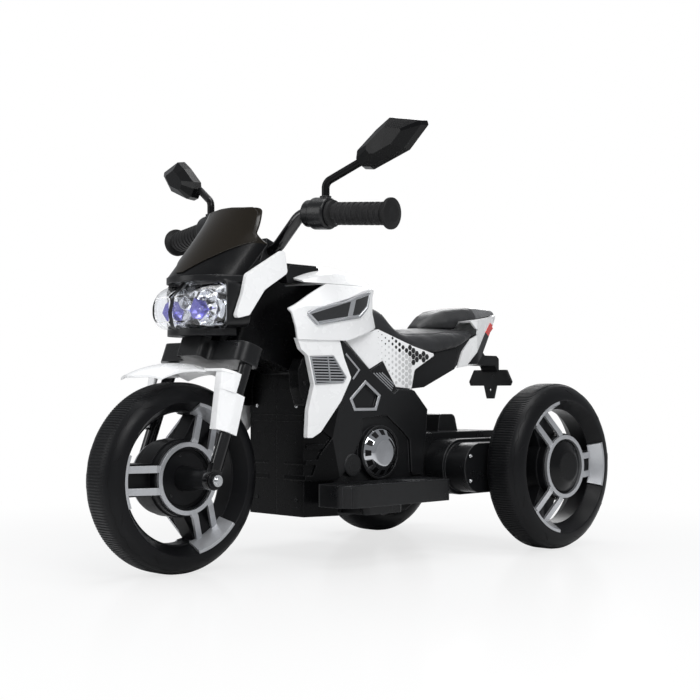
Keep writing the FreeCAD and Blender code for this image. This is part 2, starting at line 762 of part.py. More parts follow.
def windscreen():
    base = S.housing_base + S.housing_height - 3 + S.brow_height + S.seam
    ridge = S.brow_reach - 2
    rise = S.screen_height
    stations = [(base, crescent(5, ridge, S.housing_half_width, S.screen_wall)),
        (base + 0.46 * rise, crescent(-46, ridge - 46, S.housing_half_width, S.screen_wall)),
        (base + rise, crescent(-42, ridge - 98, S.housing_half_width - 10, S.screen_wall))]
    sheet_form = loft("screen_sheet", "z", stations, True)
    low = S.housing_half_width - 0.6
    front = prism("screen_front", "x", [(-low, base - 1), (low, base - 1), (low, base + 0.46 * rise, 6),
        (low - 10, base + 0.6 * rise, 10), (low - 14, base + rise - 4, 8), (0, base + rise + 1),
        (14 - low, base + rise - 4, 8), (10 - low, base + 0.6 * rise, 10),
        (-low, base + 0.46 * rise, 6)], -200, 200)
    for item in (sheet_form, front):
        item.Placement = LAMP
    node(common("screen_cut", [sheet_form, front]), "windscreen")


def cowl():
    skin = S.housing_half_width + S.seam
    panel = prism("cowl_panel", "y", [(-69, 143, 6), (11, 97, 10), (19, 65), (35, 25, 5), (5, 32, 6),
        (-27, 74, 20), (-76, 104, 8)], skin, f"{skin} + cowl_width")
    panel.Placement = LAMP
    both_sides("cowl", panel)


# Handlebar and what it carries
def bar_direction():
    start = Vector(-S.bar_back - 12, S.bar_shoulder, S.bar_rise)
    end = Vector(-S.bar_back - 41, S.bar_end, S.bar_rise - 15)
    return start, (end - start).normalize()


def bar_point(y):
    """A place on the straight outer run of the bar, by its distance from the middle plane."""
    start, along = bar_direction()
    return BAR.multVec(start + along * ((y - start.y) / along.y))


def bar_frame(y):
    return Placement(bar_point(y), Rotation(Vector(0, 1, 0), bar_direction()[1]))


def handlebar():
    start, along = bar_direction()
    grip_wall = 4
    run = [Vector(-S.bar_back, S.bar_clamp_half, -S.bar_drop), start,
        start + along * ((S.bar_end - start.y) / along.y - grip_wall - S.seam)]
    right = [Vector(point.x, -point.y, point.z) for point in reversed(run)]
    node(bent_tube("bar_tube", right + run, S.bar_bend, S.bar_radius, BAR), "handlebar")
    bore = S.bar_radius + S.shaft_gap
    length = (S.bar_end - S.grip_start) / along.y
    rib_count = 9
    pitch = (length - 24) / rib_count
    outline = [(bore, 0), (S.grip_flange_radius - 3, 0), (S.grip_flange_radius - 3, 5, 2),
        (S.grip_radius, 8)]
    for rib in range(rib_count):
        foot = 10 + rib * pitch
        outline += [(S.grip_radius, foot), (S.grip_radius + S.grip_rib, foot + 1.5),
            (S.grip_radius + S.grip_rib, foot + pitch - 4), (S.grip_radius, foot + pitch - 2.5)]
    outline += [(S.grip_radius, length - 12), (S.grip_flange_radius, length - 9, 2),
        (S.grip_flange_radius, length - 3, 2), (S.grip_radius - 3, length), (0, length),
        (0, length - grip_wall), (bore, length - grip_wall)]
    grip = revolve("grip", outline)
    grip.Placement = bar_frame(S.grip_start)
    both_sides("grip", grip)

    wide = S.grip_start - S.switch_start - 1
    housing = revolve("switch_barrel", [(bore, 0), (S.switch_radius - 4, 0, 2),
        (S.switch_radius - 4, 14), (S.switch_radius, 16, 2), (S.switch_radius, wide, 4), (bore, wide)])
    housing.Placement = bar_frame(S.switch_start)
    socket_top = bar_point(S.mirror_place) + Vector(0, 0, S.switch_radius + 2)
    boss = cylinder("socket_boss", "stalk_radius + 3", 14, socket_top - Vector(0, 0, 14), Vector(0, 0, 1))
    socket = cylinder("socket_bore", "stalk_pin_radius + shaft_gap", "stalk_pin_length + 1",
        socket_top - Vector(0, 0, S.stalk_pin_length + 0.5), Vector(0, 0, 1))
    housing = cut("switch_bored", join("switch_solid",
        [housing, cut("boss_clear", boss,
        [cylinder("boss_bar", "bar_radius + 4", 80, bar_frame(S.mirror_place - 40).Base,
        bar_direction()[1])])]), [socket])
    right = mirrored("switch_mirrored", housing)
    horn_seat = bar_point(S.switch_start + 32) + Vector(-S.bar_radius - 2, 0, 0)
    horn_bore = cylinder("horn_bore", "horn_radius + seam", 40, horn_seat, Vector(-1, 0, 0))
    node(cut("switch_left_bored", housing, [horn_bore]), "switch_housing_left")
    node(right, "switch_housing_right")
    horn = cylinder("horn_plug", "horn_radius", "switch_radius - bar_radius + 2",
        horn_seat + Vector(-S.turn_gap, 0, 0), Vector(-1, 0, 0))
    node(horn, "horn_button")


def mirror():
    socket = bar_point(S.mirror_place) + Vector(0, 0, S.switch_radius + 2 + S.seam)
    frame = Placement(socket, Rotation(Vector(0, 0, 1), S.mirror_turn))
    stalk = bent_tube("stalk_tube", [Vector(0, 0, 0), Vector(0, 0, S.stalk_height),
        Vector(-14, 76, S.stalk_height + 36)], 14, S.stalk_radius, frame)
    pin = cylinder("stalk_pin", "stalk_pin_radius", "stalk_pin_length",
        socket - Vector(0, 0, S.stalk_pin_length - 1), Vector(0, 0, 1))
    shape = [(58, 54), (70, 40), (87, 38), (154, 62), (188, 97), (186, 104), (126, 116), (99, 99), (60, 68)]
    middle = (118, 78)
    drop = S.stalk_height - 24

    def scaled(factor):
        return [(middle[0] + (y - middle[0]) * factor,
            middle[1] + (z - middle[1]) * factor + drop) for y, z in shape]

    def rounded(points, radius):
        return outline_edges([(y, z, radius) for y, z in points])

    back = -S.mirror_back
    head = loft("mirror_head", "x", [(back, rounded(scaled(1), 2.5)),
        (back + 0.55 * S.mirror_depth, rounded(scaled(0.94), 2.3)),
        (back + S.mirror_depth, rounded(scaled(0.5), 1.2))], True)
    head.Placement = frame
    glass_outline = inset(scaled(1), 3.5)
    recess = prism("glass_recess", "x", glass_outline, back - 1, back + 2.5)
    recess.Placement = frame
    glass = prism("glass", "x", inset(glass_outline, S.seam), back + 0.6, back + 2.3)
    glass.Placement = frame
    solid = cut("mirror_solid", join("mirror_joined", [stalk, pin, head]), [recess])
    both_sides("mirror", solid)
    both_sides("mirror_glass", glass)


# Body halves
def body_block_outline():
    floor = S.body_floor
    return [(S.body_front, floor), (S.body_front, 290), (118, 345), (107, S.deck_height),
        (60, S.deck_height), (-8, 323), (-41, 338), (-74, 292), (-116, 290), (-152, 255), (-148, 210),
        (-S.body_rear, 138), (9 - S.body_rear, floor + 18), (40 - S.body_rear, floor)]


def seat_rest():
    """The line that the seat rests on, from the nose back."""
    return [(-24, 402), (-120, 369), (-180, 355), (-250, 368), (-314, 394)]


def neck_plan(name, skin):
    """The neck seen down the steering axis, rounded in front and drawn in by a skin."""
    half = S.spine_width / 2 - skin
    back = -2 * FRONT.x
    form = prism(name, "z", [(back, -half), (-skin, -half, S.neck_round - skin),
        (-skin, half, S.neck_round - skin), (back, half)], -CROWN_BASE, 2 * CROWN_BASE)
    form.Placement = FORK
    return form


def body_relief(nose):
    """Raised frame arms round a five-sided window, a boss, louvres and the bracket by the grille."""
    arms = prism("frame_arms", "y", [(66, S.deck_height - 2), (-7, 319), (-62, 282), (-75, 290),
        (-115, 288), (-150, 254), (-146, 210), (-137, 139), (-108, 139, 6), (-104, 200, 8), (-84, 217),
        (-44, 245, 6), (18, 241), (18, 209, 4), (51, 157), (77, 137), (122, 137), (106, 180, 8),
        (84, 208), (108, 226), (62, 290)], 20, "body_half_width + relief")
    window = prism("frame_window", "y", [(10, 300, 4), (-22, 278, 6), (-13, 258, 6), (34, 258, 6),
        (42, 273, 4)], "body_half_width + 1", "body_half_width + relief + 1")
    wing_room = prism("wing_room", "y", inset(wing_outline(), -2 * S.seam), "body_half_width - 1",
        "body_half_width + 40")
    louvres = []
    for number in range(3):
        lift = 198 - 26 * number
        lean = 6 * number
        louvres.append(prism(f"louvre{number}", "y",
            [(128 + lean / 4, lift), (98 + lean, lift), (101 + lean, lift - 8),
            (129 + lean / 4, lift - 8)], 20, "body_half_width + relief"))
    plan = prism("relief_plan", "z", inset(nose, -S.relief), 0, 500)
    boss = cylinder("frame_boss", "boss_radius", "relief + 3", Vector(41, S.body_half_width - 1, 161),
        Vector(0, 1, 0))
    bracket = prism("grille_bracket", "y",
        [(118, 345), (150, 342, 6), (160, 322, 6), (158, 292, 8), (147, 262, 5), (118, 262)],
        "body_nose_half - 4", "body_half_width - 0.2")
    raised = cut("frame_raised", common("frame_shaped", [join("frame_forms", [arms] + louvres), plan]),
        [window, wing_room])
    return join("relief_whole", [raised, boss, bracket])


def body_halves():
    half = S.body_half_width
    block = body_block_outline()
    nose = [(S.body_front + 1, -40), (S.body_front + 1, S.body_nose_half), (67, half + 1),
        (-400, half + 1), (-400, -40)]
    outer = common("block_outer", [prism("block_side", "y", block, "seam / 2", "body_half_width"),
        prism("block_plan", "z", nose, 0, 500)])
    inner = common("block_inner", [prism("block_side_in", "y", inset(block, S.wall), -5,
        "body_half_width - wall"), prism("block_plan_in", "z", inset(nose, S.wall + 1), 0, 500)])

    rest = seat_rest()
    neck_base = S.yoke_base + S.yoke_height + S.turn_gap
    spine = [(100, 280), (126, 318), on_fork(-S.head_radius - 20, neck_base + 3), on_fork(0, neck_base),
        on_fork(0, neck_base + S.head_length), on_fork(-30, neck_base + S.head_length),
        (S.dash_front + 2, 462), (62, 470),
        (-18, 436)] + [(x, z - S.seam) for x, z in rest[:3]] + [(-150, 280)]
    spine_outer = common("spine_outer", [prism("spine_side", "y", spine, "seam / 2", "spine_width / 2"),
        neck_plan("neck_plan", 0)])
    spine_inner = common("spine_inner", [prism("spine_side_in", "y", inset(spine, S.wall), -5,
        "spine_width / 2 - wall"), neck_plan("neck_plan_in", S.wall)])
    tail = [(-90, 288), (-165, 294), (-250, 328)] + [(x, z - S.seam) for x, z in reversed(rest[1:])]
    tail_outer = prism("subframe_side", "y", tail, "seam / 2", "body_half_width - rear_step")
    tail_inner = prism("subframe_side_in", "y", inset(tail, S.wall), -5,
        "body_half_width - rear_step - wall")

    up = FORK.Rotation.multVec(Vector(0, 0, 1))
    head = cylinder("head_boss", "head_radius", "head_length", FORK.multVec(Vector(0, 0, neck_base)), up)
    head_bore = cylinder("head_bore", "stem_radius + shaft_gap", "head_length + 10",
        FORK.multVec(Vector(0, 0, neck_base - 5)), up)
    head_side = box("head_side", 400, 100, 500, Vector(0, S.seam / 2, 200))
    boss = common("head_half", [head, head_side])
    dome_z = S.step_top + S.dome_radius + S.dome_ring_width + S.seam
    ring_place = Vector(S.dome_x, half - 1, dome_z)
    ring = cylinder("dome_ring", "dome_radius + dome_ring_width", 11, ring_place, Vector(0, 1, 0))
    ring_bore = cylinder("dome_ring_bore", "dome_radius + seam", 30, Vector(S.dome_x, half, dome_z),
        Vector(0, 1, 0))
    ring = cut("dome_ring_open", ring, [ring_bore])

    raised = body_relief(nose)
    shell = cut("half_hollow", join("half_outer", [outer, spine_outer, tail_outer, raised]),
        [inner, spine_inner, tail_inner])
    whole = cut("half_bored", join("half_joined", [shell, boss, ring]), [head_bore])
    node(whole, "body_left")
    right = mirrored("half_mirrored", whole)
    socket_place = Vector(-150, -REAR_HALF, 305)
    socket_wall = cylinder("charge_boss", "charge_radius + 4", "charge_depth", socket_place,
        Vector(0, 1, 0))
    socket = cylinder("charge_bore", "charge_radius", "charge_depth + 10",
        socket_place - Vector(0, 5, 0), Vector(0, 1, 0))
    node(cut("half_right_bored", join("half_right_boss", [right, socket_wall]), [socket]), "body_right")

    dome = revolve("dome", [(0, 0), (S.dome_radius, 0), (S.dome_radius, 8, 4),
        (S.dome_radius * 0.62, S.dome_rise, 14), (0, S.dome_rise)])
    dome.Placement = Placement(Vector(S.dome_x, half + S.seam, dome_z), Rotation())
    both_sides("engine_dome", dome)


# Tank, shrouds, badges and grilles
TANK_STATIONS = [
    # Station, top and half section as (offset from the body's half width, height): shoulder, two creases, hem
    (S.dash_front + 38, 462, [(-28, 455), (6, 411), (9, 387), (7, 352)]),
    (120, 496, [(-22, 475), (14, 428), (17, 397), (10, 352)]),
    (50, 507, [(-16, 488), (17, 448), (19, 408), (10, 352)]),
    (0, 504, [(-28, 486), (7, 463), (10, 420), (6, 358)]),
    (-32, 498, [(-44, 481), (-14, 462), (-8, 424), (-8, 362)]),
    (-66, 487, [(-70, 477), (-50, 460), (-42, 430), (-42, 372)]),
]


def tank_form(name, skin):
    """The tank's whole form, drawn out by a skin or in by a negative one."""
    stations = []
    for x, top, offsets in TANK_STATIONS:
        left = [(S.body_half_width + offset, z) for offset, z in offsets]
        right = [(-y, z) for y, z in reversed(left)]
        stations.append((x, outline_edges(inset([(0, top)] + left + right, -skin))))
    return loft(name, "x", stations)


def shroud_hem():
    """The height where a shroud's flank meets its wing, a drop below the tank's lower crease."""
    lower_crease = TANK_STATIONS[1][2][2]
    return lower_crease[1] - S.hem_drop


def tank():
    front = S.dash_front
    hem = shroud_hem()
    wall_form = cut("tank_shell", tank_form("tank_outer", 0), [tank_form("tank_inner", -S.wall)])
    seam = S.seam / 2
    dash_room = prism("dash_room", "y", inset(dash_outline(), -S.seam), "-dash_half_width - seam",
        "dash_half_width + seam")
    top = prism("tank_top_side", "y", [(front - 20, 469 + seam), (90, 468 + seam), (-34, 466 + seam),
        (-66, 490, 6), (-66, 530), (front + 2, 530), (front - 10, 486)], -150, 150)
    dash_ends = [corner[0] for corner in dash_outline()[3:]]
    dash_sky = prism("dash_sky", "y", [(dash_ends[1] - S.seam, S.dash_top - 5),
        (dash_ends[0] + S.seam, S.dash_top - 5), (dash_ends[0] + S.seam, S.dash_top + 50),
        (dash_ends[1] - S.seam, S.dash_top + 50)], "-dash_half_width - seam", "dash_half_width + seam")
    node(cut("tank_top", common("tank_top_shell", [wall_form, top]), [dash_room, dash_sky]), "tank_cover")

    flank = prism("shroud_side", "y", [(front + 35, 422, 4), (front + 24, hem - 1), (60, hem),
        (-24, 397), (-6, 421, 8), (-12, 452, 12), (-34, 466 - seam), (90, 468 - seam)], 10, 150)
    wing = prism("wing_plate", "y", wing_outline(), "body_half_width + seam",
        "body_half_width + seam + wing_width")
    plate = join("shroud_whole", [common("shroud_shell", [wall_form, flank]), wing])
    grille_room = prism("grille_room", "y", inset(grille_outline(), -S.seam), "body_half_width",
        "body_half_width + 40")
    both_sides("shroud", cut("shroud_open", plate, [grille_room]))

    badge_side = prism("badge_side", "y",
        [(front + 12, 416, 6), (-1, 461, 5), (12, 430, 12), (36, 411, 14), (front - 12, 395, 10)], 20,
        150)
    skin = cut("badge_skin", tank_form("badge_outer", S.badge_rise + S.seam),
        [tank_form("badge_inner", S.seam)])
    both_sides("badge", common("badge", [skin, badge_side]))


def wing_outline():
    """The lower wing of a shroud, in the side view."""
    hem = shroud_hem()
    front = S.dash_front
    return [(front + 23, hem + 2), (front + 15, hem - 16, 5), (147, hem - 27, 4), (134, 297, 12),
        (146, 256, 10), (149, 210, 3), (137, 210, 4), (118, 219, 10), (71, 270, 20), (47, 309, 6),
        (64, hem - 29, 8), (74, hem, 4)]


def grille_outline():
    return [(143, 344), (90, 346), (60, 310), (67, 301), (131, 298)]


def grille():
    """A louvred insert: a back plate with a run of slats."""
    body = document.addObject("PartDesign::Body", "grille")
    outline = grille_outline()
    pad(body, "grille_plate", "y", outline_edges(outline), "body_half_width + seam",
        "body_half_width + wing_width - 3")
    left, right = min(x for x, z in outline), max(x for x, z in outline) + 2
    low, high = min(z for x, z in outline) + 4, max(z for x, z in outline) - 2
    step = (high - low) / S.grille_slats
    slat_edges = outline_edges([(left, low), (right, low), (right, low + S.grille_slat_width),
        (left, low + S.grille_slat_width)])
    slat = pad(body, "grille_slat", "y", slat_edges, "body_half_width + wing_width - 4",
        "body_half_width + wing_width + grille_rise")
    pattern = body.newObject("PartDesign::LinearPattern", "grille_slats_row")
    pattern.Originals = [slat]
    pattern.Direction = (origin_item(body, "Z_Axis"), [""])
    pattern.Length = step * (S.grille_slats - 1)
    pattern.Occurrences = int(S.grille_slats)
    body.Tip = pattern
    trim = prism("grille_trim", "y", outline, "body_half_width + seam", "body_half_width + 40")
    both_sides("grille", common("grille_cut", [body, trim]))


def side_covers():
    lift = 1.2
    outline = [(54, S.deck_height + 3.5), (-8, 323 + lift + 1), (-41, 338 + lift + 1),
        (-75, 292 + lift + 1), (-116, 290 + lift, 4), (-124, 325, 10), (-182, 354, 3),
        (-120, 369 - lift), (-30, 396 - lift)]
    cover = prism("side_cover", "y", outline, f"{REAR_HALF} + seam", f"{REAR_HALF} + seam + cover_width")
    both_sides("side_cover", cover)


# Dash and its rockers
def dash_outline():
    front = S.dash_front
    return [(68, 474), (front - 4, 468), (front, 482), (front - 8, S.dash_top), (74, S.dash_top)]


def rocker_places():
    return {"power": S.rocker_place, "direction": -S.rocker_place}


def dash():
    solid = prism("dash_block", "y", dash_outline(), "-dash_half_width", "dash_half_width")
    tools = []
    top_front, top_back = dash_outline()[3:]
    pivot = Vector((top_front[0] + top_back[0]) / 2 - 2, 0, S.dash_top - 2)
    for name, place in rocker_places().items():
        tools.append(box(name + "_well", "rocker_length + 2", "rocker_width + seam * 2", 12,
            pivot + Vector(-S.rocker_length / 2 - 1, place - S.rocker_width / 2 - S.seam, -9)))
        tools.append(cylinder(name + "_pin_hole", "rocker_pin_radius + shaft_gap", "rocker_width + 6",
            pivot + Vector(0, place - S.rocker_width / 2 - 3, 0), Vector(0, 1, 0)))
    node(cut("dash_bored", solid, tools), "dash")
    half = S.rocker_length / 2
    for name, place in rocker_places().items():
        key = prism(name + "_key", "y", [(-half, -2), (-4, -5), (4, -5), (half, -2), (half, 5.5, 1),
            (0, 3.6), (-half, 5.5, 1)], "-rocker_width / 2", "rocker_width / 2")
        key.Placement = Placement(pivot + Vector(0, place, 0), Rotation())
        pin = cylinder(name + "_pin", "rocker_pin_radius", "rocker_width + 5",
            pivot + Vector(0, place - S.rocker_width / 2 - 2.5, 0), Vector(0, 1, 0))
        node(join(name + "_whole", [key, pin]), name + "_rocker")


# Seat, pillion, tail
def rest_height(x):
    """The height of the seat's rest below a place along the seat."""
    rest = seat_rest()
    for (x0, z0), (x1, z1) in zip(rest, rest[1:]):
        if x1 <= x <= x0:
            return z0 + (z1 - z0) * (x - x0) / (x1 - x0)
    raise ValueError("no rest there")


def seat():
    crown = S.seat_crown
    shape = [
        # Station, share of the half width and crown height from the seat's crown
        (-28, 0.62, 15), (-43, 0.7, 33), (-59, 0.73, 39), (-76, 0.76, 31), (-93, 0.79, 12),
            (-112, 0.83, -3), (-137, 0.9, -7),
        (-166, 0.97, -5), (-204, 1, -2), (-246, 1, 0), (-284, 0.94, 0), (-312, 0.84, -1)]
    bury = 4
    form = loft("seat_form", "x", [(x, cushion_section((S.body_half_width - S.seat_tuck) * share,
        rest_height(x) - bury, crown + rise)) for x, share, rise in shape])
    rest = seat_rest()
    under = prism("seat_under", "y", [(0, 280), (0, 415)] + rest + [(-360, 394), (-360, 280)], -120, 120)
    node(cut("seat_cut", form, [under]), "seat")

    base = crown - 3
    top = base + S.pillion_height
    pad_shape = [
        # Station, share of the half width, base and top
        (-210, 0.3, base, base + 9), (-240, 0.52, base, base + 30), (-272, 0.76, base, top - 6),
            (-318, 1, base + 8, top),
        (-358, 0.9, base + 16, top + 3), (-394, 0.7, base + 22, top + 4), (-430, 0.5, base + 30, top + 2)]
    pad_form = loft("pillion_form", "x",
        [(x, pad_section(S.pillion_half_width * share, low, high)) for x, share, low, high in pad_shape],
        True)
    floor = [(-140, 300), (-140, crown + S.seam)] + [(x,
        z + S.seam) for x, z in tail_deck()] + [(-S.tail_end, 300)]
    node(cut("pillion_cut", pad_form, [prism("pillion_under", "y", floor, -120, 120)]), "pillion_pad")


def tail_deck():
    """The top line of the tail, behind the seat."""
    return [(-290, S.seat_crown), (-292, 420), (-S.tail_end, 440)]


def tail():
    end = S.tail_end
    tail_half = REAR_HALF + S.tail_skin
    deck = tail_deck()
    hem = [(-310, 338), (-335, 354), (-377, 393), (-402, 417), (-end, 434)]
    side_line = [(-269, 361), (-256, 331)] + hem + [deck[2], deck[1], (-312, 403)]
    open_line = [(-200, 324)] + hem[:-1] + [(-424, 425.5), (-424, 437), deck[1], (-200, 408)]
    plan = [(-250, -tail_half), (-312, -tail_half), (-405, -40), (-end - 1, -12), (-end - 1, 12),
        (-405, 40), (-312, tail_half), (-250, tail_half)]
    inner_half = REAR_HALF + S.seam
    open_plan = [(-190, -inner_half), (-312, -inner_half), (-405, -36), (4 - end, -8), (4 - end, 8),
        (-405, 36), (-312, inner_half), (-190, inner_half)]
    outer = common("tail_outer", [prism("tail_side", "y", side_line, -100, 100),
        prism("tail_plan", "z", plan, 300, 500)])
    inner = common("tail_inner", [prism("tail_side_in", "y", inset(open_line, S.wall), -100, 100),
        prism("tail_plan_in", "z", open_plan, 300, 500)])
    seat_room = prism("tail_seat_room", "y",
        [(-200, 300), (-275, 300), (-318, 380), (-318, 412), (-200, 412)], -inner_half, inner_half)
    rest = seat_rest()
    cushion_room = prism("tail_cushion_room", "y",
        [(-240, rest[3][1] - 3), (rest[4][0] - S.seam, rest[4][1] - S.seam),
        (rest[4][0] - S.seam, S.seat_crown + 1.5), (-240, S.seat_crown + 1.5)], -120, 120)
    node(cut("tail_hollow", outer, [inner, seat_room, cushion_room]), "tail_cover")

    low, high = Vector(-378, 0, 394), Vector(-401, 0, 416)
    slope = (high - low).normalize()
    out = Vector(-slope.z, 0, slope.x)
    near = S.seam + 0.2
    lamp = [side(low + out * near), side(high + out * near), side(high + out * (near + S.lamp_depth)),
        side(low + out * (near + S.lamp_depth))]
    node(prism("tail_lamp", "y", lamp, -40, 40), "tail_light")

    low, high = Vector(-343, 0, 361.4), Vector(-373, 0, 389.3)
    slope = (high - low).normalize()
    out = Vector(-slope.z, 0, slope.x)
    arm = prism("plate_arm", "y", [side(low + out * near), side(high + out * near), (-390, 374, 6),
        (-404, 358, 6), (-441, 358, 4), (-449, 352, 3), (-449, 326), (-443, 326), (-438, 338, 5),
        (-388, 338, 12)], -20, 20)
    wide = S.plate_half_width
    sheet_x = -449
    plate = prism("plate_sheet", "x", [(-42, 330, 3), (42, 330, 3), (wide, 306, 4), (wide - 4, 298, 2),
        (16, 298), (9, 272, 2), (-9, 272, 2), (-16, 298), (4 - wide, 298, 2), (-wide, 306, 4)], sheet_x,
        f"{sheet_x} + plate_thickness")
    hole = cylinder("plate_hole", "plate_hole_radius", 20, Vector(sheet_x - 8, 0, 290), Vector(1, 0, 0))
    node(cut("plate_bored", join("plate_solid", [arm, plate]), [hole]), "plate_holder")


# Footrests and pedal
def footrests():
    inner = S.body_half_width + S.seam
    corner = S.step_corner
    outline = [(-S.step_rear, inner), (66, inner), (S.step_front, inner + 14, 8),
        (S.step_front, S.step_out, corner), (-S.step_rear, S.step_out, 8)]
    base = S.step_top - S.step_depth
    top = prism("step_top", "z", outline, base, "step_top")
    hollow = prism("step_hollow", "z", inset(outline, S.wall), base - 1, "step_top - wall")
    foot = prism("step_foot", "z", [(-30, inner), (60, inner), (60, S.step_out - 26, 10),
        (-30, S.step_out - 26, 10)], base - 16, "step_top - wall / 2")
    foot_hollow = prism("step_foot_hollow", "z",
        inset([(-30, inner), (60, inner), (60, S.step_out - 26), (-30, S.step_out - 26)], S.wall),
        base - 16 + S.wall, "step_top - wall")
    tray = cut("step_tray", join("step_solid", [cut("step_shell", top, [hollow]), foot]), [foot_hollow])
    node(tray, "footrest_left")

    barrel = S.pedal_pin_radius + 2.5
    pivot = Vector(S.pedal_x, -(inner + 40), S.step_top + barrel + S.seam)
    wide = S.pedal_width / 2
    ears = []
    for number, place in enumerate((-wide - S.seam - 4, wide + S.seam)):
        ears.append(box(f"pedal_ear{number}", 14, 4, barrel * 2 + 1,
            pivot + Vector(-7, place, -barrel - S.seam - 1)))
    pin_hole = cylinder("pedal_pin_hole", "pedal_pin_radius + shaft_gap", "pedal_width + 20",
        pivot - Vector(0, wide + 10, 0), Vector(0, 1, 0))
    right = join("step_right", [mirrored("step_mirrored", tray)] + ears)
    node(cut("step_right_bored", right, [pin_hole]), "footrest_right")
    tread = prism("pedal_tread", "y", [(0, -2), (S.pedal_length, -2, 2),
        (S.pedal_length, S.pedal_thickness - 2, 2), (0, S.pedal_thickness - 2)], "-pedal_width / 2",
        "pedal_width / 2")
    tread.Placement = Placement(pivot, Rotation(Vector(0, 1, 0), -S.pedal_rise))
    hub = cylinder("pedal_barrel", barrel, "pedal_width", pivot - Vector(0, wide, 0), Vector(0, 1, 0))
    pin = cylinder("pedal_pin", "pedal_pin_radius", "pedal_width + 8", pivot - Vector(0, wide + 4, 0),
        Vector(0, 1, 0))
    node(join("pedal_whole", [tread, hub, pin]), "pedal")


# Rear axle, gearboxes and battery
def rear_end():
    gap = S.seam + 0.4
    half = S.beam_half_width
    rear = REAR.x
    beam = prism("beam_block", "y", [(-148 - gap, 210), (-S.body_rear - gap, 138),
        (9 - S.body_rear - gap, S.body_floor + 18), (-220, 104), (rear - 20, 104, 20),
        (rear - 54, 130, 20), (rear - 54, 186, 16), (rear - 20, S.beam_top, 16), (-200, S.beam_top)],
        "-beam_half_width", "beam_half_width")
    hump = prism("beam_hump", "y", [(rear + 129, S.beam_top - 10), (rear + 69, S.beam_top - 10),
        (rear + 81, S.hump_top, 12), (rear + 123, S.hump_top, 8)], -60, 60)
    axle_hole = cylinder("beam_hole", "rear_axle_radius + shaft_gap", 2 * half + 10,
        REAR - Vector(0, half + 5, 0), Vector(0, 1, 0))
    node(cut("beam_bored", join("beam_solid", [beam, hump]), [axle_hole]), "rear_beam")
    reach = S.rear_track / 2 + S.hub_width / 2 - S.cap_depth - 1
    node(cylinder("axle_bar", "rear_axle_radius", 2 * reach, REAR - Vector(0, reach, 0),
        Vector(0, 1, 0)), "rear_axle")

    start = half + S.seam
    def stadium(radius):
        front = -S.gearbox_front - S.gearbox_radius
        return [(front + radius, REAR.z - radius, radius * 0.98),
            (front + radius, REAR.z + radius, radius * 0.98),
            (rear - radius, REAR.z + radius, radius * 0.98),
            (rear - radius, REAR.z - radius, radius * 0.98)]
    inner_case = prism("gearbox_inner", "y", stadium(S.gearbox_radius), start, start + S.gearbox_width / 2)
    outer_case = prism("gearbox_outer", "y", stadium(S.gearbox_radius - S.gearbox_step),
        start + S.gearbox_width / 2 - 1, start + S.gearbox_width)
    case_hole = cylinder("gearbox_hole", "rear_axle_radius + shaft_gap", 120,
        REAR + Vector(0, start - 10, 0), Vector(0, 1, 0))
    both_sides("gearbox", cut("gearbox_bored", join("gearbox_case", [inner_case, outer_case]), [case_hole]))

    node(box("battery_case", "battery_length", "battery_width", "battery_height",
        Vector(-90, -S.battery_width / 2, S.body_floor + S.wall + S.seam)), "battery")


def write_parts():
    document.recompute()
    failed = [item.Label for item in document.Objects if {"Invalid", "Error"} & set(item.State)]
    if failed:
        raise RuntimeError("failed features: " + ", ".join(failed))
    for item in nodes:
        if item.Shape.isNull() or not item.Shape.isValid():
            raise RuntimeError("bad shape: " + item.Label)
    os.makedirs("parts", exist_ok=True)
    for item in nodes:
        item.Shape.exportStep(f"parts/{item.Label}.step")


front_wheel()
rear_wheels()
fork_legs()
front_axle()
fender()
yokes()
headlight()
windscreen()
cowl()
handlebar()
mirror()
body_halves()
tank()
grille()
side_covers()
dash()
seat()
tail()
footrests()
rear_end()
write_parts()
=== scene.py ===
import math

import bmesh
import bpy
from mathutils import Matrix, Vector
from mathutils.bvhtree import BVHTree


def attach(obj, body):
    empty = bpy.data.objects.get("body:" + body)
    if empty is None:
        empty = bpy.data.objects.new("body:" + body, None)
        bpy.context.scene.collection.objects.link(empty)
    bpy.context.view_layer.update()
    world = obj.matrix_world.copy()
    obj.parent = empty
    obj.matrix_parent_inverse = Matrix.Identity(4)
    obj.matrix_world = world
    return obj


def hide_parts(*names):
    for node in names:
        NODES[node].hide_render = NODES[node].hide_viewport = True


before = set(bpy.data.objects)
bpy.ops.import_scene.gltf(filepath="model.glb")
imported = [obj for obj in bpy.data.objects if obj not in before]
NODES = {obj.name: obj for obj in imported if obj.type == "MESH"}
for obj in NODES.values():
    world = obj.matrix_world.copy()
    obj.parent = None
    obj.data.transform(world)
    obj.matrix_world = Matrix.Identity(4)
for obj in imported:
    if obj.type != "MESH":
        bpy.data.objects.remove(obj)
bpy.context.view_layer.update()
scene = bpy.context.scene
SIDES = (("left", 1), ("right", -1))

# Camera, light and floor
CAMERA_PLACE = Vector((1.5649, 1.6257, 0.2852))
CAMERA_TARGET = Vector((-0.04624, 0, 0.36105))
CAMERA_LENS = 65.28
SENSOR_WIDTH = 36

# Lamps as place, target, size and power
LAMPS = {
    "key": ((1.4, 2.6, 2.6), (0, 0, 0.3), (2.0, 1.2), 70),
    "top": ((-0.2, 0, 3.0), (0, 0, 0.3), (2.6, 1.4), 58),
    "fill": ((2.8, -1.2, 1.4), (0, 0, 0.3), (1.4, 1.8), 24),
    "back": ((-2.2, -1.4, 1.6), (0, 0, 0.35), (1.2, 1.6), 22),
}

# The floor's half size, the distances over which it goes over to white, and the share of white before them
FLOOR_HALF = 12
FADE_START = 0.25
FADE_END = 1.3
FADE_LEAST = 0.72


def aim(thing, place, target):
    """Put a camera or lamp at a place and turn it to a target."""
    thing.location = place
    thing.rotation_euler = (target - place).to_track_quat("-Z", "Y").to_euler()


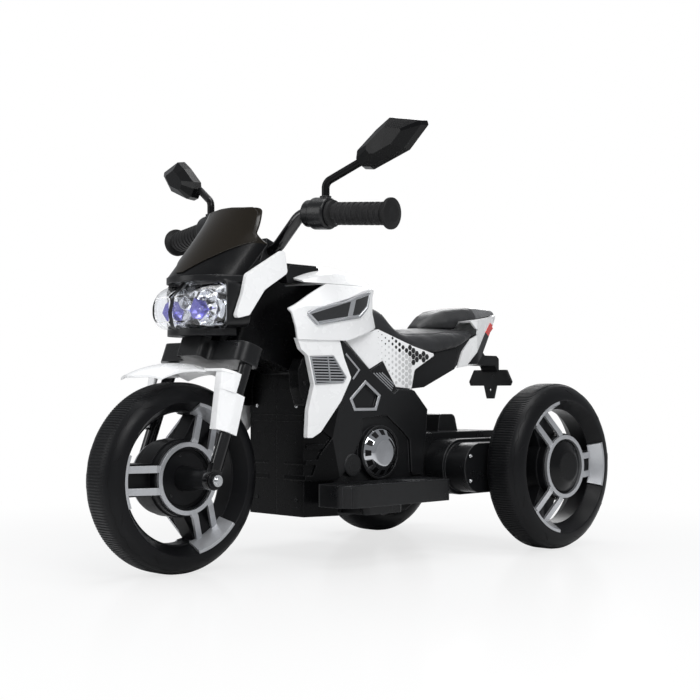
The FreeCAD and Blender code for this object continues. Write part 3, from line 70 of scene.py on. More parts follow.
def make_camera():
    camera = bpy.data.objects.new("camera", bpy.data.cameras.new("camera"))
    scene.collection.objects.link(camera)
    aim(camera, CAMERA_PLACE, CAMERA_TARGET)
    camera.data.sensor_width = SENSOR_WIDTH
    camera.data.lens = CAMERA_LENS
    scene.camera = camera


def make_lamp(name, place, target, size, power):
    data = bpy.data.lights.new(name, "AREA")
    data.shape = "RECTANGLE"
    data.size, data.size_y = size
    data.energy = power
    lamp = bpy.data.objects.new(name, data)
    scene.collection.objects.link(lamp)
    aim(lamp, Vector(place), Vector(target))


def see_rays(tree):
    """1 for rays that look straight at the background or see it through glass."""
    path = tree.nodes.new("ShaderNodeLightPath")
    either = tree.nodes.new("ShaderNodeMath")
    either.operation = "MAXIMUM"
    tree.links.new(path.outputs["Is Camera Ray"], either.inputs[0])
    tree.links.new(path.outputs["Is Transmission Ray"], either.inputs[1])
    return either.outputs[0]


def mix_shaders(tree, share, first, second, output):
    """Two shaders mixed by a share, into an output node."""
    mix = tree.nodes.new("ShaderNodeMixShader")
    tree.links.new(share, mix.inputs[0])
    tree.links.new(first.outputs[0], mix.inputs[1])
    tree.links.new(second.outputs[0], mix.inputs[2])
    tree.links.new(mix.outputs[0], tree.nodes[output].inputs[0])


def make_world():
    """Soft light from all round, with plain white behind the object."""
    world = bpy.data.worlds.new("studio")
    scene.world = world
    world.use_nodes = True
    tree = world.node_tree
    light = tree.nodes["Background"]
    light.inputs["Color"].default_value = (0.9, 0.92, 0.95, 1)
    light.inputs["Strength"].default_value = 0.4
    seen = tree.nodes.new("ShaderNodeBackground")
    seen.inputs["Color"].default_value = (1, 1, 1, 1)
    mix_shaders(tree, see_rays(tree), light, seen, "World Output")


def make_floor():
    """A pale floor that keeps the object's shadow and goes over into white away from it."""
    half = FLOOR_HALF
    mesh = bpy.data.meshes.new("floor")
    corners = [(-half, -half, 0), (half, -half, 0), (half, half, 0), (-half, half, 0)]
    mesh.from_pydata(corners, [], [(0, 1, 2, 3)])
    floor = bpy.data.objects.new("floor", mesh)
    scene.collection.objects.link(floor)
    material = bpy.data.materials.new("floor")
    material.use_nodes = True
    tree = material.node_tree
    base = tree.nodes["Principled BSDF"]
    base.inputs["Base Color"].default_value = (0.86, 0.86, 0.86, 1)
    base.inputs["Roughness"].default_value = 0.16
    glow = tree.nodes.new("ShaderNodeEmission")
    far = tree.nodes.new("ShaderNodeVectorMath")
    far.operation = "LENGTH"
    tree.links.new(tree.nodes.new("ShaderNodeTexCoord").outputs["Object"], far.inputs[0])
    reach = tree.nodes.new("ShaderNodeMapRange")
    reach.interpolation_type = "SMOOTHSTEP"
    reach.inputs["From Min"].default_value = FADE_START
    reach.inputs["From Max"].default_value = FADE_END
    reach.inputs["To Min"].default_value = FADE_LEAST
    tree.links.new(far.outputs["Value"], reach.inputs["Value"])
    share = tree.nodes.new("ShaderNodeMath")
    share.operation = "MULTIPLY"
    tree.links.new(see_rays(tree), share.inputs[0])
    tree.links.new(reach.outputs[0], share.inputs[1])
    mix_shaders(tree, share.outputs[0], base, glow, "Material Output")
    mesh.materials.append(material)


def make_stage():
    make_world()
    make_floor()
    for name, values in LAMPS.items():
        make_lamp(name, *values)
    scene.view_settings.view_transform = "Standard"


# Materials
class Graph:
    """A material with one Principled shader and textures in the object's own frame."""

    def __init__(self, name, color, roughness, metallic=0.0):
        self.material = bpy.data.materials.new(name)
        self.material.use_nodes = True
        self.tree = self.material.node_tree
        self.shader = self.tree.nodes["Principled BSDF"]
        self.set("Base Color", (*color, 1))
        self.set("Roughness", roughness)
        self.set("Metallic", metallic)
        self.place = self.add("ShaderNodeTexCoord").outputs["Object"]
        self.color = color

    def add(self, kind, **values):
        node = self.tree.nodes.new(kind)
        for key, value in values.items():
            setattr(node, key, value)
        return node

    def link(self, source, target):
        self.tree.links.new(source, target)

    def set(self, socket, value):
        self.shader.inputs[socket].default_value = value

    def noise(self, scale, detail):
        texture = self.add("ShaderNodeTexNoise")
        texture.inputs["Scale"].default_value = scale
        texture.inputs["Detail"].default_value = detail
        self.link(self.place, texture.inputs["Vector"])
        return texture.outputs["Fac"]

    def cells(self, scale):
        texture = self.add("ShaderNodeTexVoronoi")
        texture.inputs["Scale"].default_value = scale
        self.link(self.place, texture.inputs["Vector"])
        return texture.outputs["Distance"]

    def spread(self, value, low, high):
        """The middle range of a texture, spread from low to high."""
        node = self.add("ShaderNodeMapRange")
        node.inputs["From Min"].default_value = 0.3
        node.inputs["From Max"].default_value = 0.7
        node.inputs["To Min"].default_value = low
        node.inputs["To Max"].default_value = high
        self.link(value, node.inputs["Value"])
        return node.outputs[0]

    def vary_roughness(self, value, low, high):
        self.link(self.spread(value, low, high), self.shader.inputs["Roughness"])

    def vary_color(self, value, dark, light):
        """The base colour, between two shares of itself."""
        ramp = self.add("ShaderNodeMix", data_type="RGBA")
        ramp.inputs["A"].default_value = (*(c * dark for c in self.color), 1)
        ramp.inputs["B"].default_value = (*(c * light for c in self.color), 1)
        self.link(self.spread(value, 0, 1), ramp.inputs["Factor"])
        self.link(ramp.outputs["Result"], self.shader.inputs["Base Color"])
        return ramp.outputs["Result"]

    def paint_edge_wear_and_light(self, base, color, share, radius=0.0012):
        """Edges painted a little paler where the rounded normal leaves the flat one: partly rubbed wear,
        partly a painted highlight along the edge.
        """
        bevel = self.add("ShaderNodeBevel", samples=4)
        bevel.inputs["Radius"].default_value = radius
        geometry = self.add("ShaderNodeNewGeometry")
        dot = self.add("ShaderNodeVectorMath", operation="DOT_PRODUCT")
        self.link(bevel.outputs[0], dot.inputs[0])
        self.link(geometry.outputs["Normal"], dot.inputs[1])
        edge = self.add("ShaderNodeMapRange")
        edge.inputs["From Min"].default_value = 0.995
        edge.inputs["From Max"].default_value = 0.8
        edge.inputs["To Max"].default_value = share
        self.link(dot.outputs["Value"], edge.inputs["Value"])
        mix = self.add("ShaderNodeMix", data_type="RGBA")
        mix.inputs["B"].default_value = (*color, 1)
        self.link(edge.outputs[0], mix.inputs["Factor"])
        self.link(base, mix.inputs["A"])
        self.link(mix.outputs["Result"], self.shader.inputs["Base Color"])

    def axis(self, name):
        split = self.add("ShaderNodeSeparateXYZ")
        self.link(self.place, split.inputs[0])
        return split.outputs[name]

    def combine(self, operation, first, second):
        """A math step on two values, each a number or the output of a node."""
        node = self.add("ShaderNodeMath", operation=operation)
        for socket, value in zip(node.inputs, (first, second)):
            if isinstance(value, (int, float)):
                socket.default_value = value
            else:
                self.link(value, socket)
        return node.outputs[0]

    def line(self, along_x, along_z, shift):
        """A straight ramp over the side view, from coordinates in metres."""
        x = self.combine("MULTIPLY", self.axis("X"), along_x)
        z = self.combine("MULTIPLY", self.axis("Z"), along_z)
        return self.combine("ADD", self.combine("ADD", x, z), shift)

    def depth_inside(self, corners):
        """How far a point lies inside a convex outline of the side view, in metres."""
        middle = sum((Vector(c) for c in corners), Vector((0, 0))) / len(corners)
        depth = None
        for start, end in zip(corners, corners[1:] + corners[:1]):
            way = (Vector(end) - Vector(start)).normalized()
            inward = Vector((-way.y, way.x))
            if inward.dot(middle - Vector(start)) < 0:
                inward = -inward
            away = self.line(inward.x, inward.y, -inward.dot(Vector(start)) / 1000)
            depth = away if depth is None else self.combine("MINIMUM", depth, away)
        return depth

    def blend(self, mask, first, second):
        """Two finishes as (colour, roughness, metallic), told apart by a mask."""
        color = self.add("ShaderNodeMix", data_type="RGBA")
        color.inputs["A"].default_value = (*first[0], 1)
        color.inputs["B"].default_value = (*second[0], 1)
        self.link(mask, color.inputs["Factor"])
        self.link(color.outputs["Result"], self.shader.inputs["Base Color"])
        for number, socket in ((1, "Roughness"), (2, "Metallic")):
            mix = self.add("ShaderNodeMix")
            mix.inputs["A"].default_value = first[number]
            mix.inputs["B"].default_value = second[number]
            self.link(mask, mix.inputs["Factor"])
            self.link(mix.outputs["Result"], self.shader.inputs[socket])

    def bump(self, heights, radius=0.0):
        """Bumps as (height texture, strength, depth in metres), over edges rounded by a radius."""
        normal = None
        if radius:
            bevel = self.add("ShaderNodeBevel", samples=4)
            bevel.inputs["Radius"].default_value = radius
            normal = bevel.outputs[0]
        for value, strength, depth in heights:
            node = self.add("ShaderNodeBump")
            node.inputs["Strength"].default_value = strength
            node.inputs["Distance"].default_value = depth
            self.link(value, node.inputs["Height"])
            if normal:
                self.link(normal, node.inputs["Normal"])
            normal = node.outputs[0]
        self.link(normal, self.shader.inputs["Normal"])


def moulded(name, color, rough, grain, depth, edge_wear_and_light, edge, coat=0.0, radius=0.0012, wave=0.0, gloss=0.5,
            patch=0.08):
    """Moulded plastic: patchy gloss, a fine grain, softened edges painted slightly paler as rubbed wear and
    painted highlight.

    grain and depth are the scale and height of the grain, the two after them the colour and share of the
    edges painted as wear and highlight, radius their rounding, wave the height of slow waves, and patch how
    far the colour varies.
    """
    g = Graph(name, color, rough)
    base = g.vary_color(g.noise(14, 4), 1 - patch, 1 + patch)
    g.paint_edge_wear_and_light(base, edge_wear_and_light, edge)
    g.vary_roughness(g.noise(38, 3), rough - 0.04, rough + 0.05)
    heights = [(g.noise(grain, 2), 0.35, depth)]
    if wave:
        heights.append((g.noise(11, 2), 0.2, wave))
    g.bump(heights, radius)
    g.set("Coat Weight", coat)
    g.set("Coat Roughness", 0.08)
    g.set("Specular IOR Level", gloss)
    return g.material


# The badge's outline in the side view, in millimetres
BADGE = [(160, 416), (-1, 461), (12, 430), (36, 411), (136, 395)]


def badge_plate(name):
    """A bare badge: a silver rim and slanting bar round dark panels."""
    g = Graph(name, (0.4, 0.41, 0.43), 0.3)
    depth = g.depth_inside(BADGE)
    rim = g.combine("LESS_THAN", depth, 0.0062)
    slant = g.line(1, 0.35, -0.35 * 0.43)
    past = g.combine("GREATER_THAN", slant, 0.05)
    before = g.combine("LESS_THAN", slant, 0.061)
    bar = g.combine("MULTIPLY", past, before)
    mask = g.combine("MAXIMUM", rim, bar)
    g.blend(mask, ((0.016, 0.0165, 0.018), 0.16, 0.0), ((0.5, 0.51, 0.53), 0.26, 0.7))
    step = g.add("ShaderNodeMapRange")
    step.inputs["From Min"].default_value = 0.0045
    step.inputs["From Max"].default_value = 0.0075
    g.link(depth, step.inputs["Value"])
    g.bump([(step.outputs[0], -0.8, 0.001), (g.noise(600, 2), 0.15, 0.0001)], 0.0008)
    g.set("Coat Weight", 0.5)
    return g.material


def faceted(name, color, rough):
    """Bright plated plastic broken into flat facets."""
    g = Graph(name, color, rough, 1.0)
    g.vary_color(g.noise(40, 2), 0.92, 1.05)
    g.vary_roughness(g.noise(90, 2), rough, rough + 0.06)
    g.bump([(g.cells(60), 0.5, 0.004), (g.noise(300, 2), 0.1, 0.0002)])
    return g.material


def metal(name, color, rough):
    g = Graph(name, color, rough, 1.0)
    g.vary_color(g.noise(60, 3), 0.9, 1.06)
    g.vary_roughness(g.noise(130, 4), rough * 0.75, rough * 1.3)
    g.bump([(g.noise(420, 3), 0.2, 0.0001)], 0.0006)
    return g.material


def silver_paint(name, color, rough):
    """Silver paint with fine flake over a moulded face."""
    g = Graph(name, color, rough, 0.75)
    g.vary_color(g.cells(1700), 0.86, 1.08)
    g.vary_roughness(g.noise(50, 3), rough - 0.05, rough + 0.07)
    g.bump([(g.noise(700, 2), 0.2, 0.00012)], 0.0008)
    g.set("Coat Weight", 0.35)
    g.set("Coat Roughness", 0.12)
    return g.material


def clear_plastic(name, color, rough, flute):
    g = Graph(name, color, rough)
    g.vary_color(g.noise(20, 2), 0.98, 1.0)
    g.vary_roughness(g.noise(60, 2), rough, rough + 0.03)
    g.bump([(g.noise(flute, 1), 0.12, 0.0006)])
    g.set("Transmission Weight", 1.0)
    g.set("IOR", 1.12)
    g.set("Coat Weight", 0.8)
    g.set("Coat Roughness", 0.03)
    return g.material


def leather(name, color, rough):
    """Vinyl leather: pebbled cells with fine creases between them."""
    g = Graph(name, color, rough)
    base = g.vary_color(g.noise(26, 5), 0.84, 1.16)
    # Edges painted paler: partly wear, partly a painted highlight, as on the mouldings
    g.paint_edge_wear_and_light(base, tuple(c * 1.7 for c in color), 0.25, 0.002)
    g.vary_roughness(g.noise(70, 4), rough - 0.06, rough + 0.08)
    pebbles = (g.cells(620), 0.5, 0.0005)
    creases = (g.noise(1500, 3), 0.3, 0.0002)
    swells = (g.noise(30, 3), 0.25, 0.0012)
    g.bump([pebbles, creases, swells])
    g.set("Specular IOR Level", 0.35)
    g.set("Sheen Weight", 0.04)
    g.set("Sheen Roughness", 0.5)
    return g.material


def rubber(name, color, rough):
    g = Graph(name, color, rough)
    base = g.vary_color(g.noise(40, 4), 0.85, 1.15)
    # Edges painted paler: partly wear, partly a painted highlight, as on the mouldings
    g.paint_edge_wear_and_light(base, (0.09, 0.09, 0.092), 0.35)
    g.vary_roughness(g.noise(90, 3), rough - 0.06, rough + 0.08)
    g.bump([(g.noise(1300, 3), 0.35, 0.0002)], 0.0006)
    g.set("Specular IOR Level", 0.22)
    return g.material


BLACK = (0.0065, 0.0068, 0.0075)
JET = (0.0032, 0.0033, 0.0037)
# Paler edge colour of the black parts: rubbed wear and a painted highlight along the edges
EDGE_WEAR_AND_LIGHT = (0.075, 0.077, 0.081)
SILVER = (0.5, 0.51, 0.53)
PALE_INK = (0.55, 0.555, 0.56)
MATERIALS = {
    # The black moulding's broad pale edges are mostly a painted highlight along its relief, besides wear
    "black": moulded("black_moulding", BLACK, rough=0.3, grain=1500, depth=0.0002, edge_wear_and_light=(0.13, 0.134, 0.142),
                     edge=0.6, radius=0.0032, wave=0.0006, gloss=0.3),
    "fine": moulded("black_fitting", BLACK, rough=0.32, grain=1500, depth=0.0001, edge_wear_and_light=EDGE_WEAR_AND_LIGHT, edge=0.1,
                    radius=0.0005, gloss=0.22),
    "satin": moulded("black_satin", JET, rough=0.24, grain=900, depth=0.0001, edge_wear_and_light=EDGE_WEAR_AND_LIGHT, edge=0.3, coat=0.02,
                     gloss=0.17),
    "shell": moulded("black_shell", JET, rough=0.27, grain=900, depth=0.0001, edge_wear_and_light=EDGE_WEAR_AND_LIGHT, edge=0.1,
                     radius=0.0004, gloss=0.14),
    # A darker copy of the black moulding: painted shade, put on the front of the column
    "painted_shade_black": moulded("black_painted_shade", (0.0022, 0.0023, 0.0026), rough=0.27, grain=1200, depth=0.0001, edge_wear_and_light=EDGE_WEAR_AND_LIGHT,
                    edge=0.35, radius=0.0025, wave=0.0003, gloss=0.12),
    "wheel": moulded("wheel_moulding", (0.0048, 0.005, 0.0058), rough=0.38, grain=1100, depth=0.0002,
                     edge_wear_and_light=EDGE_WEAR_AND_LIGHT, edge=0.25, gloss=0.15),
    "white": moulded("white_moulding", (0.88, 0.885, 0.89), rough=0.26, grain=700, depth=0.00006,
                     edge_wear_and_light=(0.78, 0.785, 0.79), edge=0.5, coat=0.3, patch=0.012),
    "paint": moulded("black_paint", (0.004, 0.004, 0.0045), rough=0.12, grain=300, depth=0.00006,
                     edge_wear_and_light=(0.04, 0.04, 0.042), edge=0.2, coat=0.2, radius=0.0006, gloss=0.4),
    "smoke": moulded("smoked_screen", (0.0115, 0.009, 0.006), rough=0.15, grain=200, depth=0.00005,
                     edge_wear_and_light=(0.1, 0.095, 0.09), edge=0.5, coat=0.05, gloss=0.2),
    "silver": silver_paint("silver_paint", SILVER, 0.36),
    "chrome": metal("chrome", SILVER, 0.05),
    "steel": metal("zinc_steel", (0.6, 0.61, 0.62), 0.2),
    "mirror": metal("mirror_silver", (0.78, 0.8, 0.82), 0.02),
    "facet": faceted("lamp_reflector", (0.84, 0.85, 0.87), 0.08),
    "violet": faceted("lamp_bowl", (0.17, 0.16, 0.46), 0.12),
    "clear": clear_plastic("clear_lens", (0.97, 0.98, 1.0), 0.01, 45),
    "red": moulded("red_lens", (0.68, 0.014, 0.006), rough=0.12, grain=260, depth=0.0002,
                   edge_wear_and_light=(0.6, 0.06, 0.04), edge=0.2, coat=0.2),
    "seat": leather("seat_leather", (0.02, 0.0205, 0.022), 0.42),
    "pillion": leather("pillion_leather", (0.014, 0.0144, 0.0155), 0.4),
    "cap": moulded("grey_cap", (0.09, 0.091, 0.094), rough=0.28, grain=900, depth=0.0001,
                   edge_wear_and_light=(0.18, 0.18, 0.185), edge=0.4, coat=0.1),
    "grip": rubber("grip_rubber", (0.009, 0.009, 0.0095), 0.55),
    "badge": badge_plate("badge_plate"),
    # Near-black matte paint put into grooves, holes, vents and recessed beds: painted shade
    "groove_shade": moulded("groove_painted_shade", (0.003, 0.003, 0.0034), rough=0.5, grain=900, depth=0.0001,
                      edge_wear_and_light=(0.01, 0.01, 0.011), edge=0.2, radius=0.0004, gloss=0.15),
    "ink": moulded("dark_print", (0.012, 0.012, 0.013), rough=0.4, grain=900, depth=0.00004,
                   edge_wear_and_light=(0.02, 0.02, 0.021), edge=0.1, radius=0.0002, gloss=0.3),
    "pale_ink": moulded("pale_print", PALE_INK, rough=0.4, grain=900, depth=0.00004, edge_wear_and_light=PALE_INK, edge=0.1,
                        radius=0.0002),
    "battery": moulded("battery_case", (0.1, 0.1, 0.11), rough=0.45, grain=900, depth=0.0002,
                       edge_wear_and_light=(0.15, 0.15, 0.16), edge=0.3),
}

# The main material of each node
FINISH = {
    "wheel": ("front_tyre", "rear_tyre_left", "rear_tyre_right"),
    "silver": ("front_wheel_trim_left", "front_wheel_trim_right", "rear_wheel_trim_left",
               "rear_wheel_trim_right", "grille_left", "grille_right", "power_rocker", "direction_rocker"),
    "black": ("steering_stem", "upper_yoke", "headlight_housing", "switch_housing_left",
              "switch_housing_right", "horn_button", "body_left", "body_right", "dash", "plate_holder",
              "footrest_left", "footrest_right", "pedal", "rear_beam", "gearbox_left", "gearbox_right"),
    "satin": ("rear_hub_cap_left", "rear_hub_cap_right"),
    "shell": ("mirror_left", "mirror_right"),
    "paint": ("fork_left", "fork_right", "handlebar"),
    "steel": ("front_axle", "rear_axle"),
    "white": ("fender", "cowl_left", "cowl_right", "tank_cover", "shroud_left", "shroud_right",
              "side_cover_left", "side_cover_right", "tail_cover"),
    "chrome": ("engine_dome_left", "engine_dome_right"),
    "facet": ("headlight_reflector",),
    "clear": ("headlight_lens",),
    "smoke": ("windscreen",),
    "grip": ("grip_left", "grip_right"),
    "mirror": ("mirror_glass_left", "mirror_glass_right"),
    "badge": ("badge_left", "badge_right"),
    "seat": ("seat",),
    "pillion": ("pillion_pad",),
    "red": ("tail_light",),
    "battery": ("battery",),
}

# Where a node goes over to a second material, in metres
GRILLE_BED = 0.0945
COLUMN_REAR = 0.082
SPACER_END = 0.1056
SCREEN_FOOT = 0.5235
LAMP_RIB_HALF = 0.0065
LAMP_RIB_REAR = 0.295


def finish_nodes():
    for key, names in FINISH.items():
        for name in names:
            mesh = NODES[name].data
            mesh.materials.clear()
            mesh.materials.append(MATERIALS[key])


def paint_faces(name, key, choose):
    """A second material on the faces of a node that a choice by middle and normal picks."""
    mesh = NODES[name].data
    mesh.materials.append(MATERIALS[key])
    for face in mesh.polygons:
        if choose(face.center, face.normal):
            face.material_index = len(mesh.materials) - 1


def lamp_rib(middle, normal):
    """Whether a face is on a side of the rib between the headlight's lobes."""
    return abs(middle.y) < LAMP_RIB_HALF and abs(normal.y) > 0.5 and middle.x > LAMP_RIB_REAR


def finish_faces():
    for side, _ in SIDES:
        # The grille's recessed bed between its louvres is painted near-black as shade; the side walls of the
        # rear hub caps take the same near-black
        paint_faces(f"grille_{side}", "groove_shade", lambda c, n: abs(c.y) < GRILLE_BED)
        paint_faces(f"rear_hub_cap_{side}", "groove_shade", lambda c, n: abs(n.y) < 0.2)
        # The column's front faces take the darker copy of the black moulding: painted shade
        paint_faces(f"body_{side}", "painted_shade_black", lambda c, n: c.x > COLUMN_REAR)
    paint_faces("front_axle", "fine", lambda c, n: abs(c.y) < SPACER_END)
    paint_faces("windscreen", "satin", lambda c, n: c.z < SCREEN_FOOT)
    paint_faces("headlight_housing", "facet", lamp_rib)


# Pieces
def new_object(name, mesh, material, body):
    piece = bpy.data.objects.new(name, mesh)
    scene.collection.objects.link(piece)
    mesh.materials.append(MATERIALS[material])
    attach(piece, body)
    return piece


def smooth(mesh, angle=40):
    """Round shading, with edges left sharp past an angle."""
    for face in mesh.polygons:
        face.use_smooth = True
    mesh.set_sharp_from_angle(angle=math.radians(angle))


def baked(piece):
    """The piece's mesh with its modifiers applied."""
    graph = bpy.context.evaluated_depsgraph_get()
    return bpy.data.meshes.new_from_object(piece.evaluated_get(graph))


def surface(piece):
    """The piece's surface, to be met by rays."""
    return BVHTree.FromObject(piece, bpy.context.evaluated_depsgraph_get())


# How padded pieces are stuffed: faces that look down past a slope are held
PRESSURE = 4.0
DRAWN_IN = 0.0015
BASE_SLOPE = -0.35
FRAMES = 20


def softened(name, source, voxel, cap):
    """A stuffed copy of a solid: remeshed, drawn in, blown up by cloth under pressure, held at its base."""
    mesh = NODES[source].data.copy()
    piece = bpy.data.objects.new(name, mesh)
    scene.collection.objects.link(piece)
    remesh = piece.modifiers.new("remesh", "REMESH")
    remesh.mode = "VOXEL"
    remesh.voxel_size = voxel
    relax = piece.modifiers.new("relax", "SMOOTH")
    relax.factor = 0.5
    relax.iterations = 6
    piece.data = baked(piece)
    piece.modifiers.clear()
    mesh = piece.data
    start = [v.co.copy() for v in mesh.vertices]
    held = [v.normal.z < BASE_SLOPE for v in mesh.vertices]
    for vertex, fixed in zip(mesh.vertices, held):
        if not fixed:
            vertex.co -= vertex.normal * DRAWN_IN
    pins = piece.vertex_groups.new(name="held")
    pins.add([i for i, fixed in enumerate(held) if fixed], 1.0, "REPLACE")
    cloth = piece.modifiers.new("cloth", "CLOTH")
    cloth.settings.use_pressure = True
    cloth.settings.uniform_pressure_force = PRESSURE
    cloth.settings.effector_weights.gravity = 0
    cloth.settings.vertex_group_mass = "held"
    cloth.settings.quality = 6
    cloth.point_cache.frame_end = FRAMES
    for step in range(1, FRAMES + 1):
        scene.frame_set(step)
    moved = baked(piece)
    piece.modifiers.clear()
    for vertex, origin, blown in zip(mesh.vertices, start, moved.vertices):
        shift = blown.co - origin
        if shift.length > cap:
            shift *= cap / shift.length
        vertex.co = origin + shift
    scene.frame_set(1)
    piece.vertex_groups.clear()
    return piece


def padded_piece(name, source, material, voxel, cap):
    piece = softened(name, source, voxel, cap)
    mesh = piece.data
    mesh.materials.clear()
    mesh.materials.append(MATERIALS[material])
    for face in mesh.polygons:
        face.use_smooth = True
        face.material_index = 0
    piece.modifiers.new("finer", "SUBSURF").render_levels = 1
    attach(piece, "chassis")
    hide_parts(source)
    return piece


def tube(name, points, radius, material, body, closed=False):
    """A thin round strip along points, as a mesh."""
    curve = bpy.data.curves.new(name, "CURVE")
    curve.dimensions = "3D"
    spline = curve.splines.new("POLY")
    spline.points.add(len(points) - 1)
    for slot_point, point in zip(spline.points, points):
        slot_point.co = (*point, 1)
    spline.use_cyclic_u = closed
    curve.bevel_depth = radius
    curve.bevel_resolution = 2
    curve.use_fill_caps = True
    holder = bpy.data.objects.new(name + "_line", curve)
    scene.collection.objects.link(holder)
    bpy.context.view_layer.update()
    mesh = baked(holder)
    bpy.data.objects.remove(holder)
    smooth(mesh)
    mesh.materials.clear()
    return new_object(name, mesh, material, body)


def join_rings(form, rings, closed=False):
    """Faces between rings of like count, and over the ends unless the last ring joins the first."""
    following = rings[1:] + rings[:1] if closed else rings[1:]
    for first, second in zip(rings, following):
        for j in range(len(first)):
            k = (j + 1) % len(first)
            form.faces.new((first[j], first[k], second[k], second[j]))
    if not closed:
        form.faces.new(rings[0])
        form.faces.new(rings[-1])


def ribbon(name, corners, y, width, rise, closed=False):
    """A flat silver strip along corners of the side view in millimetres, standing on a face at y."""
    points = [Vector(c) / 1000 for c in corners]
    count = len(points)
    out = 1 if y > 0 else -1
    sunk = -0.0004
    shoulder = rise * 0.6
    profile = ((1, sunk), (1, shoulder), (0.8, rise), (-0.8, rise), (-1, shoulder), (-1, sunk))
    form = bmesh.new()
    rings = []
    for i, point in enumerate(points):
        ways = []
        if closed or i:
            ways.append((point - points[i - 1]).normalized())
        if closed or i + 1 < count:
            ways.append((points[(i + 1) % count] - point).normalized())
        sides = [Vector((-way.y, way.x)) for way in ways]
        middle = sum(sides, Vector((0, 0))).normalized()
        middle *= width / 2 / max(middle.dot(sides[0]), 0.4)
        ring = []
        for reach, lift in profile:
            place = point + middle * reach
            ring.append(form.verts.new((place.x, y + out * lift, place.y)))
        rings.append(ring)
    join_rings(form, rings, closed)
    return finished(form, name, "silver", "chassis")


def finished(form, name, material, body, angle=30):
    """A piece from an edited form, with its normals outward."""
    bmesh.ops.recalc_face_normals(form, faces=form.faces)
    mesh = bpy.data.meshes.new(name)
    form.to_mesh(mesh)
    form.free()
    smooth(mesh, angle)
    return new_object(name, mesh, material, body)


def screw(name, place, way, radius, material, body):
    """A low round screw head with a cross sunk in it."""
    form = bmesh.new()
    turn = Vector(way).to_track_quat("Z", "Y").to_matrix().to_4x4()
    seat = Matrix.Translation(Vector(place)) @ turn
    rise = radius * 0.4
    sides = 20
    cross = 0.5
    levels = ((1, -0.0006), (1, rise * 0.5), (0.8, rise), (0.62, rise), (cross, rise * 0.45))
    rings = []
    for share, height in levels:
        ring = []
        for i in range(sides):
            angle = 2 * math.pi * i / sides
            pinch = 1 - 0.55 * (share == cross) * abs(math.sin(2 * angle))
            reach = radius * share * pinch
            spot = Vector((reach * math.cos(angle), reach * math.sin(angle), height))
            ring.append(form.verts.new(seat @ spot))
        rings.append(ring)
    join_rings(form, rings)
    return finished(form, name, material, body)


def around(centre, radius, angle, y):
    """A point at a radius and angle round a line across the object, and at y along it."""
    return centre + Vector((radius * math.cos(angle), y, radius * math.sin(angle)))


# Wheels
WHEELS = {
    "front": ("front_wheel", Vector((0.345, 0, 0.15))),
    "rear_left": ("rear_wheel_left", Vector((-0.345, 0.22, 0.15))),
    "rear_right": ("rear_wheel_right", Vector((-0.345, -0.22, 0.15))),
}

# The tyre's section, its ribs and its grooves
TYRE_RADIUS = 0.15
CROWN_FLAT = 0.012
SHOULDER_RADIUS = 0.027
RIB_COUNT = 196
RIB_LENGTH = 0.05
RIB_LIFT = 0.0009
RIB_SINK = 0.0006
GROOVE_SINK = 0.0001

# The front hub's face, and the radii of its screws and its ring
HUB_FACE = 0.026
HUB_SCREWS = 0.037
HUB_RING = 0.043


def tread_radius(y):
    """The tyre's outer radius at a distance from its middle plane."""
    over = max(0.0, abs(y) - CROWN_FLAT)
    return TYRE_RADIUS - SHOULDER_RADIUS + math.sqrt(max(SHOULDER_RADIUS ** 2 - over ** 2, 0))


def tread(name, body, centre):
    """A run of low closed ribs across the crown, parted by fine grooves."""
    form = bmesh.new()
    pitch = 2 * math.pi / RIB_COUNT
    rows = [i / 10 * RIB_LENGTH - RIB_LENGTH / 2 for i in range(11)]
    for rib in range(RIB_COUNT):
        columns = []
        for turn, high in ((-0.34, False), (-0.22, True), (0.22, True), (0.34, False)):
            angle = (rib + turn) * pitch
            column = []
            for y in rows:
                raised = high and y not in (rows[0], rows[-1])
                reach = tread_radius(y) + (RIB_LIFT if raised else -RIB_SINK)
                column.append(form.verts.new(around(centre, reach, angle, y)))
            columns.append(column)
        for left, right in zip(columns, columns[1:] + columns[:1]):
            for i in range(len(rows) - 1):
                form.faces.new((left[i], left[i + 1], right[i + 1], right[i]))
        for end in (0, -1):
            form.faces.new([column[end] for column in columns])
    return finished(form, name, "wheel", body)


def shoulder_lines(name, body, centre):
    """A fine dark groove line round each shoulder, painted shade, which steps out to the side at even spaces.
    """
    steps = 24 * 4
    for number, side in enumerate((-1, 1)):
        points = []
        for step in range(steps):
            y = (0.0285, 0.0285, 0.031, 0.0285)[step % 4]
            reach = tread_radius(y) - GROOVE_SINK
            points.append(around(centre, reach, 2 * math.pi * step / steps, side * y))
        tube(f"{name}_shoulder_{number}", points, 0.0005, "groove_shade", body, True)


def wall_ticks(name, body, centre):
    """Short curved dark lines spaced round each side wall: painted shade for grooves."""
    for number, side in enumerate((-1, 1)):
        for tick in range(9):
            points = []
            for step in range(7):
                share = step / 6
                angle = 2 * math.pi * (tick + 0.3) / 9 + 0.13 * share ** 1.6
                y = 0.0335 + 0.0042 * share
                points.append(around(centre, tread_radius(y) - GROOVE_SINK, angle, side * y))
            tube(f"{name}_tick_{number}_{tick}", points, 0.0006, "groove_shade", body)


def dress_wheels():
    for key, (body, centre) in WHEELS.items():
        tread(f"tread_{key}", body, centre)
        shoulder_lines(key, body, centre)
        wall_ticks(key, body, centre)


def hub_details():
    """Small screws and a dark ring round each side of the front hub, the ring painted shade for the hub's
    groove.
    """
    body, centre = WHEELS["front"]
    for side, out in SIDES:
        for number in range(3):
            place = around(centre, HUB_SCREWS, math.radians(75 + 120 * number), out * HUB_FACE)
            screw(f"hub_screw_{side}_{number}", place, (0, out, 0), 0.0026, "fine", body)
        ring = []
        for step in range(48):
            ring.append(around(centre, HUB_RING, 2 * math.pi * step / 48, out * HUB_FACE))
        tube(f"hub_ring_{side}", ring, 0.0008, "groove_shade", body, True)


